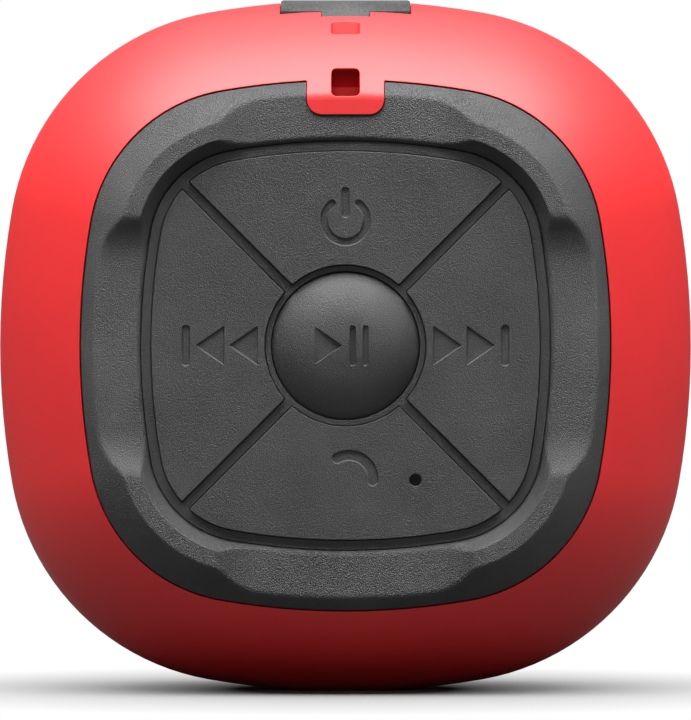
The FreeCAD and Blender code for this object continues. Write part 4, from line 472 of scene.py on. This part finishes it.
def press_pockets(piece):
    """Press the four pockets into the ridge, with softly rounded edges."""
    for vertex in piece.data.vertices:
        x, y, z = (vertex.co - MIDDLE) / MM
        floor = pocket_depth(z if abs(x) > abs(z) else x)
        share = min(1.0, max(0.0, 0.5 + 0.5 * (y - floor) / POCKET_SOFTNESS))
        pressed = floor + (y - floor) * share + POCKET_SOFTNESS * share * (1 - share)
        if min(abs(x), abs(z)) < POCKET_FLAT + RAMP_RADIUS:
            vertex.co.y = pressed * MM


base_half = skin(SEAM_TILT)[0] - (BACK_Y - skin(SEAM_TILT)[1]) * math.tan(math.radians(SEAM_TILT)) - SEAM_GAP
wall = [(RIDGE_INNER + (CHANNEL_HALF - RIDGE_INNER) * step / WALL_STEPS,
         RIDGE_Y + (CHANNEL_Y - 0.1 - RIDGE_Y) * step / WALL_STEPS) for step in range(1, WALL_STEPS + 1)]
outline, inner_crest = slope_outline(wall + [(CHANNEL_HALF, BACK_Y), (base_half, BACK_Y)], RIDGE_INNER, 8)
outline = softened(outline, CREST_ROUND, [inner_crest], 4)
outline = softened(outline, SEAM_ROUND, [0], 3)
rear_frame = ring("rear_frame_ring", outline, 100, 40)
press_pockets(rear_frame)
combine(rear_frame, tongue_bar(TONGUE_GAP))
bevel_where(rear_frame, lambda d, m: m.y < -21.6 and abs(m.x) < TONGUE_HALF + 1 and m.z > TONGUE_END - 1,
            NOTCH_ROUND, 3, 40.0)
smooth(rear_frame, 38.0)

textured_black = finish("textured_black", (0.019, 0.019, 0.019), 0.36, grain=0.13, depth=0.20, mottle=0.7,
                        rough_swing=0.12, edge=0.12)
coat(rear_frame, textured_black)
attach(rear_frame, "case")
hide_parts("rear_frame")

# ================= keypad: webs and keys =================
# One black rubber sheet carries the webs between the keys. Four flat keys and a domed middle one stand in it,
# each with its sign pressed into its face.
KEY_Y = -22.8
KEY_UNDER_Y = -20.5
PAD_HALF = 26.4
GROOVE_HALF = 0.74
KNOB_RADIUS, KNOB_GROOVE = 10.05, 0.95
KEY_GAP = 0.1
KEY_ROUND, KEY_CORNER = 0.26, 0.22
SIGN_DEPTH = 0.28
SIGN_LIP, SIGN_CORNER = 0.11, 0.12
RING_CENTRE, RING_RADIUS, RING_STROKE = 17.0, 2.93, 0.43
RING_START, RING_END = 128, 412
CALL_X, CALL_Z, CALL_RADIUS, CALL_STROKE = 0.5, -18.1, 3.2, 0.65
CALL_START, CALL_END = -5, 120
SKIP_BAR_X, SKIP_BAR_HALF, BAR_HEIGHT = 21.7, 0.46, 2.7
SKIP_ARROWS, ARROW_LENGTH, ARROW_HEIGHT = (12.0, 16.55), 3.7, 2.55
MIC_X, MIC_Z, MIC_RADIUS, MIC_DEPTH = 9.5, -18.3, 0.8, 1.6
POST_RADIUS, POST_END_Y = 1.5, -17.2


def key_blank(name, turn, grow, y0, y1):
    """Quarter of the pad between two diagonal grooves, with the round opening for the middle key."""
    blank = plate(name, PAD_HALF + grow, y0, y1)
    activate(blank)
    bpy.ops.object.mode_set(mode="EDIT")
    groove = GROOVE_HALF - grow
    for side in (45, -45):
        bpy.ops.mesh.select_all(action="SELECT")
        normal = Vector((cos(turn + side), 0, sin(turn + side)))
        bpy.ops.mesh.bisect(plane_co=MIDDLE + normal * groove * MM, plane_no=normal, use_fill=True,
                            clear_inner=True)
    close_mesh()
    return combine(blank, rod("middle", KNOB_RADIUS + KNOB_GROOVE - grow, y0 - 1, y1 + 1))


def raise_sign(stretch, pivot):
    """Extrude the selected outline from the sign's floor to just under the face, then flare it past it."""
    bpy.ops.mesh.extrude_region_move(
        TRANSFORM_OT_translate={"value": (0, -(SIGN_DEPTH - SIGN_LIP) * MM, 0)})
    bpy.ops.mesh.extrude_region_move(TRANSFORM_OT_translate={"value": (0, -2 * SIGN_LIP * MM, 0)})
    bpy.ops.transform.resize(value=(stretch[0], 1, stretch[1]), center_override=pivot)
    close_mesh()


def bar_sign(x, half_width, z0, z1):
    """Cutter of an upright bar with rounded ends."""
    y = KEY_Y + SIGN_DEPTH
    corners = [at(x - half_width, y, z0), at(x + half_width, y, z0), at(x + half_width, y, z1),
               at(x - half_width, y, z1)]
    bar = drawn("bar_sign", corners + corners[:1])
    bpy.ops.mesh.remove_doubles(threshold=MM / 500)
    bpy.ops.mesh.select_all(action="SELECT")
    bpy.ops.mesh.edge_face_add()
    bpy.ops.mesh.bevel(offset=half_width * 0.85 * MM, segments=4, affect="VERTICES")
    flare = 2 * SIGN_LIP
    raise_sign(((half_width + flare) / half_width, 1 + 2 * flare / (z1 - z0)), at(x, y, (z0 + z1) / 2))
    return bar


def arrow_sign(base, tip, half_height):
    """Cutter of a triangle that points along x, flared about the middle of its inscribed circle."""
    y = KEY_Y + SIGN_DEPTH
    corners = [at(base, y, -half_height), at(tip, y, 0), at(base, y, half_height)]
    arrow = drawn("arrow_sign", corners + corners[:1])
    bpy.ops.mesh.remove_doubles(threshold=MM / 500)
    bpy.ops.mesh.select_all(action="SELECT")
    bpy.ops.mesh.edge_face_add()
    length = abs(tip - base)
    slant = math.hypot(length, half_height)
    inner = half_height * length / (half_height + slant)
    centre = base + math.copysign(inner, tip - base)
    bpy.ops.mesh.bevel(offset=SIGN_CORNER * MM, segments=3, affect="VERTICES")
    scale = (inner + 2 * SIGN_LIP) / inner
    raise_sign((scale, scale), at(centre, y, 0))
    return arrow


def arc_sign(x, z, radius, stroke, start, end):
    """Cutter of an open ring from one angle to another, anticlockwise, with the half-width of its stroke."""
    inner, outer = radius - stroke, radius + stroke
    floor, lip, over = KEY_Y + SIGN_DEPTH, KEY_Y + SIGN_LIP, KEY_Y - SIGN_LIP
    section = [(inner, floor), (outer, floor), (outer, lip), (outer + 2 * SIGN_LIP, over),
               (inner - 2 * SIGN_LIP, over), (inner, lip)]
    points = [at(x + out * cos(start), y, z + out * sin(start)) for out, y in section]
    arc = drawn("arc_sign", points + points[:1])
    bpy.ops.mesh.remove_doubles(threshold=MM / 500)
    bpy.ops.mesh.select_all(action="SELECT")
    bpy.ops.mesh.edge_face_add()
    bpy.ops.mesh.spin(steps=max(6, round((end - start) / 5)), angle=math.radians(end - start),
                      center=at(x, 0, z), axis=(0, 1, 0))
    close_mesh()
    return arc


def dot_sign(x, z, radius, depth=SIGN_DEPTH):
    """Cutter of a round hole with a flared mouth."""
    bpy.ops.object.select_all(action="DESELECT")
    bpy.ops.mesh.primitive_cylinder_add(vertices=40, radius=radius * MM, depth=(depth - SIGN_LIP) * MM,
                                        location=at(x, KEY_Y + (depth + SIGN_LIP) / 2, z),
                                        rotation=(math.radians(90), 0, 0))
    dot = bpy.context.object
    bpy.ops.object.transform_apply(location=True, rotation=True)
    bpy.ops.object.mode_set(mode="EDIT")
    bpy.ops.mesh.select_all(action="DESELECT")
    bpy.ops.mesh.select_mode(type="FACE")
    mesh = bmesh.from_edit_mesh(dot.data)
    for face in mesh.faces:
        face.select_set(face.normal.y < -0.9)
    bmesh.update_edit_mesh(dot.data)
    bpy.ops.mesh.extrude_region_move(TRANSFORM_OT_translate={"value": (0, -2 * SIGN_LIP * MM, 0)})
    scale = (radius + 2 * SIGN_LIP) / radius
    bpy.ops.transform.resize(value=(scale, 1, scale), center_override=at(x, KEY_Y, z))
    bpy.ops.mesh.select_mode(type="VERT")
    close_mesh()
    return dot


def rounded_arc(x, z, radius, stroke, start, end):
    """Cutters of an arc and of its two round ends."""
    ends = [dot_sign(x + radius * cos(angle), z + radius * sin(angle), stroke) for angle in (start, end)]
    return [arc_sign(x, z, radius, stroke, start, end)] + ends


def skip_signs(side):
    """Cutters of the bar and the two arrows of a skip key, on the right (1) or the left (-1)."""
    bar = bar_sign(side * SKIP_BAR_X, SKIP_BAR_HALF, -BAR_HEIGHT, BAR_HEIGHT)
    return [bar] + [arrow_sign(side * base, side * (base + ARROW_LENGTH), ARROW_HEIGHT)
                    for base in SKIP_ARROWS]


def flat_key(node, turn, signs):
    """One outer key: its blank, rounded corners and edges, then its signs and its post."""
    key = key_blank(node + "_cap", turn, 0.0, KEY_Y, KEY_UNDER_Y)
    bevel_where(key, along_y, KEY_CORNER, 3, 40.0)
    bevel_where(key, lambda d, m: m.y < KEY_Y + 0.01, KEY_ROUND, 4, 40.0)
    for sign in signs:
        combine(key, sign)
    combine(key, rod("post", POST_RADIUS, KEY_UNDER_Y - 0.4, POST_END_Y, RING_CENTRE * cos(turn),
                     RING_CENTRE * sin(turn), 40), "UNION")
    smooth(key, 35.0)
    return key


key_rubber = finish("key_rubber", (0.019, 0.019, 0.019), 0.38, grain=0.13, depth=0.13, mottle=0.6,
                    rough_swing=0.08, edge=0.16)
keys = {
    "power_key": flat_key("power_key", 90, rounded_arc(
        0, RING_CENTRE, RING_RADIUS, RING_STROKE, RING_START, RING_END) + [
        bar_sign(0, 0.45, RING_CENTRE + 0.45, RING_CENTRE + 4.45)]),
    "previous_key": flat_key("previous_key", 180, skip_signs(-1)),
    "call_key": flat_key("call_key", 270, rounded_arc(
        CALL_X, CALL_Z, CALL_RADIUS, CALL_STROKE, CALL_START, CALL_END) + [
        dot_sign(MIC_X, MIC_Z, MIC_RADIUS, MIC_DEPTH)]),
}
next_cap = keys["previous_key"].copy()
next_cap.data = next_cap.data.copy()
next_cap.name = next_cap.data.name = "next_key_cap"
bpy.context.scene.collection.objects.link(next_cap)
activate(next_cap)
bpy.ops.object.mode_set(mode="EDIT")
bpy.ops.mesh.select_all(action="SELECT")
bpy.ops.transform.resize(value=(-1, 1, 1), center_override=MIDDLE)
close_mesh()
smooth(next_cap, 35.0)
keys["next_key"] = next_cap

CROWN, CROWN_REACH, RIM_TILT, KNOB_EDGE = 34.0, 4.0, 35.0, 0.12


def knob_outline():
    """(radius, y) points of the dome from its middle to its foot."""
    crown_tilt = math.degrees(math.asin(CROWN_REACH / CROWN))
    shoulder = (KNOB_RADIUS - KNOB_EDGE - CROWN_REACH) / (sin(RIM_TILT) - sin(crown_tilt))
    points = [(CROWN * sin(tilt), RIDGE_Y + CROWN * (1 - cos(tilt)))
              for tilt in (crown_tilt * step / 4 for step in range(5))]
    start_y = points[-1][1]
    for step in range(1, 13):
        tilt = crown_tilt + (RIM_TILT - crown_tilt) * step / 12
        points.append((CROWN_REACH + shoulder * (sin(tilt) - sin(crown_tilt)),
                       start_y + shoulder * (cos(crown_tilt) - cos(tilt))))
    rim, rim_y = points[-1]
    turn = (KNOB_RADIUS - rim) / (1 - sin(RIM_TILT))
    for tilt in (50, 65, 80, 90):
        points.append((KNOB_RADIUS - turn * (1 - sin(tilt)), rim_y + turn * (cos(RIM_TILT) - cos(tilt))))
    return points + [(KNOB_RADIUS, KEY_UNDER_Y), (POST_RADIUS, KEY_UNDER_Y), (POST_RADIUS, POST_END_Y),
                     (0.0, POST_END_Y)]


knob = drawn("play_pause_cap", [at(radius, y, 0) for radius, y in knob_outline()])
bpy.ops.mesh.spin(steps=120, angle=math.radians(360), center=MIDDLE, axis=(0, 1, 0))
close_mesh()
KNOB_SIGN_FLOOR, KNOB_SIGN_ROUND = RIDGE_Y + 0.45, 0.09
arrow = extruded("knob_arrow", [at(x, KNOB_SIGN_FLOOR, z) for x, z in ((-4.1, -2.5), (-0.45, 0), (-4.1, 2.5))],
                 (0, -2 * MM, 0))
bevel_where(arrow, along_y, SIGN_CORNER, 3)
combine(knob, arrow)
for x, half_width in ((0.98, 0.39), (2.72, 0.37)):
    bar = block("knob_bar", x - half_width, x + half_width, KNOB_SIGN_FLOOR - 2, KNOB_SIGN_FLOOR,
                -BAR_HEIGHT, BAR_HEIGHT)
    bevel_where(bar, along_y, 0.8 * half_width, 4)
    combine(knob, bar)
bevel_where(knob, lambda d, m: m.y < KNOB_SIGN_FLOOR - 0.05 and math.hypot(m.x, m.z) < 5.5,
            KNOB_SIGN_ROUND, 2, 40.0)
smooth(knob, 35.0)
keys["play_pause_key"] = knob

BODY_OF_KEY = {"next_key": "next_button", "power_key": "power_button", "previous_key": "previous_button",
               "call_key": "call_button", "play_pause_key": "play_pause_button"}
for node, key in keys.items():
    coat(key, key_rubber)
    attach(key, BODY_OF_KEY[node])
    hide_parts(node)

membrane = plate("keypad_webs", CHANNEL_HALF - 0.1, CHANNEL_Y, BACK_Y)
for turn in range(0, 360, 90):
    combine(membrane, key_blank("key_opening", turn, KEY_GAP, RIDGE_Y - 1, BACK_Y + 1))
combine(membrane, rod("middle_opening", KNOB_RADIUS + KEY_GAP, RIDGE_Y - 1, BACK_Y + 1))
smooth(membrane, 35.0)
coat(membrane, key_rubber)
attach(membrane, "case")
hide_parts("keypad_membrane")

# ================= port cover =================
# A grey rubber flap that lies flush in the top of the sleeve over the two sockets. Its finger tab points to
# the keys, and it folds along its front edge.
COVER_PROUD, COVER_WALL, COVER_CORNER = 0.05, 1.7, 0.55
COVER_END_ROUND, COVER_EDGE_ROUND = 0.3, 0.12
HINGE_Y = 3.0
PLUG_LOW = 44.1
FLAT_PLUG = (1.3, 7.3, -2.55, -1.35)
ROUND_PLUG_X, ROUND_PLUG_Y, ROUND_PLUG_RADIUS = -4.6, -3.2, 1.35


def crown_height(y, inset):
    """Height of the body's top at this depth, inset along its normal."""
    radius = CROWN_RADIUS - inset
    reach = max(abs(y) - BELT / 2, 0)
    return HALF - CROWN_RADIUS + math.sqrt(radius * radius - reach * reach)


def cover_outline():
    """(half-width, y) section of the flap along its length, from the tab's tip to the round fold."""
    tip, front = COVER_REAR - TAB_REACH, HINGE_Y + COVER_WALL / 2
    steps = 16
    ys = [tip + (front - tip) * step / steps for step in range(steps + 1)]
    upper = [(crown_height(y, -COVER_PROUD), y) for y in ys]
    lower = [(crown_height(y, COVER_WALL), y) for y in reversed(ys)]
    lower[-1] = (lower[-1][0], tip + 0.5)
    return softened(upper + lower, COVER_END_ROUND, [0, steps, steps + 1], 4)


cover = extruded("port_cover_flap", [at(-COVER_HALF, y, half) for half, y in cover_outline()],
                 (2 * COVER_HALF * MM, 0, 0))
corners = block("cover_corners", 0.01 - COVER_HALF, COVER_HALF - 0.01, CUT_Y, -CUT_Y, HALF - 12,
                HALF + COVER_PROUD - 0.01)
bevel_where(corners, lambda d, m: along_y(d, m) and m.z > HALF - 1, COVER_CORNER, 5)
combine(cover, corners, "INTERSECT")
for side in (1, -1):
    combine(cover, block("beside_tab", *sorted((side * TAB_HALF, side * 2 * COVER_HALF)),
                         COVER_REAR - 3, COVER_REAR, HALF - 12, HALF + CUT_OVER))
bevel_where(cover, lambda d, m: m.z > 44.5, COVER_EDGE_ROUND, 3, 40.0)
combine(cover, block("flat_plug", *FLAT_PLUG, PLUG_LOW, HALF - COVER_WALL + JOIN), "UNION")
round_plug = rod("round_plug", ROUND_PLUG_RADIUS, -HALF + COVER_WALL - JOIN, -PLUG_LOW, sides=32)
activate(round_plug)
bpy.ops.object.mode_set(mode="EDIT")
bpy.ops.mesh.select_all(action="SELECT")
bpy.ops.transform.rotate(value=math.radians(90), orient_axis="X", center_override=MIDDLE)
bpy.ops.transform.translate(value=(ROUND_PLUG_X * MM, ROUND_PLUG_Y * MM, 0))
bpy.ops.object.mode_set(mode="OBJECT")
combine(cover, round_plug, "UNION")
smooth(cover, 35.0)
cover_grey = finish("cover_grey", (0.036, 0.036, 0.036), 0.60, grain=0.25, depth=0.08, mottle=0.8,
                    specular=0.15, edge=0.25)
coat(cover, cover_grey)
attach(cover, "port_cover")
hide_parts("port_cover")

# ================= front bezel, grille and cloth =================
# The same hard black plastic frames a pressed steel grille in front. The grille is perforated in a hexagonal
# pattern, and thin black cloth lies behind the holes.
GRILLE_EDGE = 33.2
BEZEL_GAP = 0.2
bezel_inner = GRILLE_EDGE + BEZEL_GAP
outline = slope_outline([(bezel_inner, BACK_Y), (base_half, BACK_Y)], bezel_inner, 3)[0]
bezel = ring("front_bezel_ring", [(half, -y) for half, y in outline if half >= bezel_inner - 0.001], 24, 30)
smooth(bezel, 38.0)
coat(bezel, textured_black)
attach(bezel, "case")
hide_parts("front_bezel")


def merged_copy(node, name):
    """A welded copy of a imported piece, to be finished by hand."""
    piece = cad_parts[node].copy()
    piece.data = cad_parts[node].data.copy()
    piece.name = piece.data.name = name
    piece.parent = None
    for key in list(piece.keys()):
        del piece[key]
    bpy.context.scene.collection.objects.link(piece)
    activate(piece)
    bpy.ops.object.mode_set(mode="EDIT")
    bpy.ops.mesh.select_all(action="SELECT")
    bpy.ops.mesh.remove_doubles(threshold=MM / 2000)
    bpy.ops.object.mode_set(mode="OBJECT")
    return piece


grille = merged_copy("grille", "grille_steel")
smooth(grille, 30.0)
coat(grille, finish("grille_black", (0.022, 0.022, 0.023), 0.38, grain=0.1, depth=0.012, mottle=0.25))
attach(grille, "case")
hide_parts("grille")

# ================= inside of the case =================
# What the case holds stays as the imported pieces: shells, boards, sockets, battery and loudspeaker. Each gets
# the finish of its own stuff.
INSIDE = {
    "acoustic_cloth": (["grille_cloth"], (0.012, 0.012, 0.013), 0.9, 0.0, 0.35, 0.08),
    "housing_black": (["rear_housing", "front_housing", "battery_bracket", "driver_terminals"],
                      (0.035, 0.035, 0.037), 0.55, 0.0, 0.5, 0.02),
    "gasket_foam": (["driver_gasket", "housing_gasket", "microphone_boot"], (0.05, 0.05, 0.052), 0.85, 0.0,
                    0.4, 0.06),
    "cover_grey_tail": (["port_cover_anchor"], (0.19, 0.19, 0.195), 0.55, 0.0, 0.2, 0.02),
    "board_green": (["control_board", "main_board"], (0.012, 0.10, 0.045), 0.35, 0.0, 0.6, 0.01),
    "switch_shell": (["switch_bodies"], (0.45, 0.45, 0.46), 0.3, 1.0, 0.15, 0.004),
    "switch_button": (["power_plunger", "previous_plunger", "next_plunger", "call_plunger",
                       "play_pause_plunger"], (0.06, 0.06, 0.06), 0.5, 0.0, 0.3, 0.01),
    "chip_black": (["radio_module", "amplifier_chip", "inductors"], (0.02, 0.02, 0.021), 0.6, 0.0, 0.12, 0.01),
    "tinned_steel": (["usb_socket", "microphone", "case_screws", "bracket_screws", "main_board_screws",
                      "control_board_screws", "driver_screws"], (0.62, 0.62, 0.60), 0.28, 1.0, 0.2, 0.004),
    "jack_black": (["aux_jack"], (0.025, 0.025, 0.026), 0.45, 0.0, 0.25, 0.01),
    "capacitor_can": (["capacitors"], (0.55, 0.56, 0.58), 0.25, 1.0, 0.3, 0.004),
    "connector_white": (["ribbon_connectors"], (0.72, 0.70, 0.64), 0.45, 0.0, 0.3, 0.01),
    "ribbon_film": (["ribbon_cable"], (0.50, 0.25, 0.05), 0.3, 0.0, 0.8, 0.01),
    "battery_foil": (["battery"], (0.52, 0.53, 0.55), 0.33, 1.0, 1.2, 0.02),
    "wire_red": (["battery_leads"], (0.50, 0.02, 0.02), 0.4, 0.0, 0.3, 0.01),
    "wire_black": (["speaker_leads"], (0.03, 0.03, 0.03), 0.4, 0.0, 0.3, 0.01),
    "basket_steel": (["driver_frame"], (0.05, 0.05, 0.052), 0.5, 0.0, 0.25, 0.02),
    "motor_steel": (["driver_yoke", "driver_pole_piece"], (0.48, 0.46, 0.40), 0.32, 1.0, 0.3, 0.01),
    "magnet_nickel": (["driver_magnet"], (0.55, 0.54, 0.52), 0.25, 1.0, 0.3, 0.004),
    "coil_copper": (["voice_coil"], (0.75, 0.30, 0.14), 0.3, 1.0, 0.12, 0.02),
    "cone_paper": (["cone", "dust_cap"], (0.03, 0.03, 0.03), 0.8, 0.0, 0.5, 0.04),
    "surround_rubber": (["surround"], (0.022, 0.022, 0.023), 0.42, 0.0, 0.4, 0.01),
    "spider_cloth": (["spider"], (0.42, 0.24, 0.07), 0.85, 0.0, 0.4, 0.08),
}
for name, (nodes_of_it, colour, roughness, metallic, grain, depth) in INSIDE.items():
    stuff = finish(name, colour, roughness, metallic, grain, depth)
    for node in nodes_of_it:
        coat(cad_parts[node], stuff)

# ================= floor, lamps and camera =================
# A pale floor with a painted shadow round the body on top of its real one: close in, the camera sees the lit
# matt floor in a low colour, and further out this fades to a white glow. The studio's walls show white and
# light it softly.
# One wide soft box overhead, a little in front, does most of the work, and a low one in front fills the keys.
CAMERA_BACK = 1.0
CAMERA_DROP = 1.95 * MM
LENS = 359.6
FLOOR_SIZE = 6.0
# Painted shadow: near the body the camera sees the lit matt floor at the low colour FLOOR_PALE, with its real
# shadow on it, and between the two distances on the next line this fades to a white glow. FLOOR_BOUNCE is the
# floor's colour for the light that it throws back.
FLOOR_PALE, FLOOR_BOUNCE = 0.13, 0.09
PAINTED_SHADOW_START, PAINTED_SHADOW_END = 0.015, 0.075
LOW_WALL, HIGH_WALL, WHITE = 0.11, 0.38, 1.0
BOX_PLACE, BOX_SIZE, BOX_POWER = (0.0, -0.16, 0.66), (1.10, 0.50), 28.0
FRONT_PLACE, FRONT_SIZE, FRONT_POWER = (0.0, -1.3, 0.16), 0.7, 2.3


def seen_directly(tree):
    """1 where the camera looks straight at it, 0 where it only lights something."""
    return tree.nodes.new("ShaderNodeLightPath").outputs["Is Camera Ray"]


def ranged(tree, value, low, high, from_low=0.0, from_high=1.0):
    """The value, carried from one range to another and held inside it."""
    node = tree.nodes.new("ShaderNodeMapRange")
    for socket, number in (("From Min", from_low), ("From Max", from_high), ("To Min", low), ("To Max", high)):
        node.inputs[socket].default_value = number
    tree.links.new(value, node.inputs["Value"])
    return node.outputs["Result"]


bpy.ops.object.select_all(action="DESELECT")
bpy.ops.mesh.primitive_plane_add(size=FLOOR_SIZE, location=(0, 0, 0))
floor = bpy.context.object
floor.name = "floor"
paper = bpy.data.materials.new("floor_paper")
paper.use_nodes = True
tree = paper.node_tree
matt = tree.nodes["Principled BSDF"]
matt.inputs["Roughness"].default_value = 0.95
matt.inputs["Specular IOR Level"].default_value = 0.0
by_camera = seen_directly(tree)
shade = tree.nodes.new("ShaderNodeCombineColor")
for channel in shade.inputs:
    tree.links.new(ranged(tree, by_camera, FLOOR_BOUNCE, FLOOR_PALE), channel)
tree.links.new(shade.outputs[0], matt.inputs["Base Color"])
place = tree.nodes.new("ShaderNodeTexCoord")
reach = tree.nodes.new("ShaderNodeVectorMath")
reach.operation = "LENGTH"
tree.links.new(place.outputs["Object"], reach.inputs[0])
# Painted shadow round the body: 0 close to it, rising to 1 where the floor has turned into the white glow.
past_painted_shadow = ranged(tree, reach.outputs["Value"], 0.0, 1.0, PAINTED_SHADOW_START, PAINTED_SHADOW_END)
glow = tree.nodes.new("ShaderNodeEmission")
seen_past_painted_shadow = tree.nodes.new("ShaderNodeMath")
seen_past_painted_shadow.operation = "MULTIPLY"
tree.links.new(past_painted_shadow, seen_past_painted_shadow.inputs[0])
tree.links.new(by_camera, seen_past_painted_shadow.inputs[1])
blend = tree.nodes.new("ShaderNodeMixShader")
tree.links.new(seen_past_painted_shadow.outputs[0], blend.inputs["Fac"])
tree.links.new(matt.outputs[0], blend.inputs[1])
tree.links.new(glow.outputs[0], blend.inputs[2])
tree.links.new(blend.outputs[0], tree.nodes["Material Output"].inputs["Surface"])
coat(floor, paper)

world = bpy.data.worlds.new("studio")
bpy.context.scene.world = world
world.use_nodes = True
tree = world.node_tree
walls = tree.nodes["Background"]
walls.inputs["Color"].default_value = (1, 1, 1, 1)
place = tree.nodes.new("ShaderNodeTexCoord")
height = tree.nodes.new("ShaderNodeSeparateXYZ")
tree.links.new(place.outputs["Generated"], height.inputs[0])
strength = tree.nodes.new("ShaderNodeMix")
tree.links.new(seen_directly(tree), strength.inputs["Factor"])
tree.links.new(ranged(tree, height.outputs["Z"], LOW_WALL, HIGH_WALL), strength.inputs["A"])
strength.inputs["B"].default_value = WHITE
tree.links.new(strength.outputs["Result"], walls.inputs["Strength"])


def lamp(name, place, size, power):
    """A rectangular soft box that faces the body."""
    bpy.ops.object.light_add(type="AREA", location=place)
    box = bpy.context.object
    box.name = name
    box.data.shape = "RECTANGLE"
    box.data.size, box.data.size_y = size
    box.data.energy = power
    box.rotation_euler = (MIDDLE - Vector(place)).to_track_quat("-Z", "Y").to_euler()


lamp("overhead_box", BOX_PLACE, BOX_SIZE, BOX_POWER)
lamp("front_box", FRONT_PLACE, (FRONT_SIZE, FRONT_SIZE), FRONT_POWER)

bpy.ops.object.camera_add(location=(0, -CAMERA_BACK, MIDDLE.z - CAMERA_DROP),
                          rotation=(math.radians(90), 0, 0))
camera = bpy.context.object
camera.data.lens = LENS
camera.data.sensor_width = 36.0
camera.data.clip_start, camera.data.clip_end = 0.05, 20.0
bpy.context.scene.camera = camera
bpy.context.scene.view_settings.view_transform = "Standard"
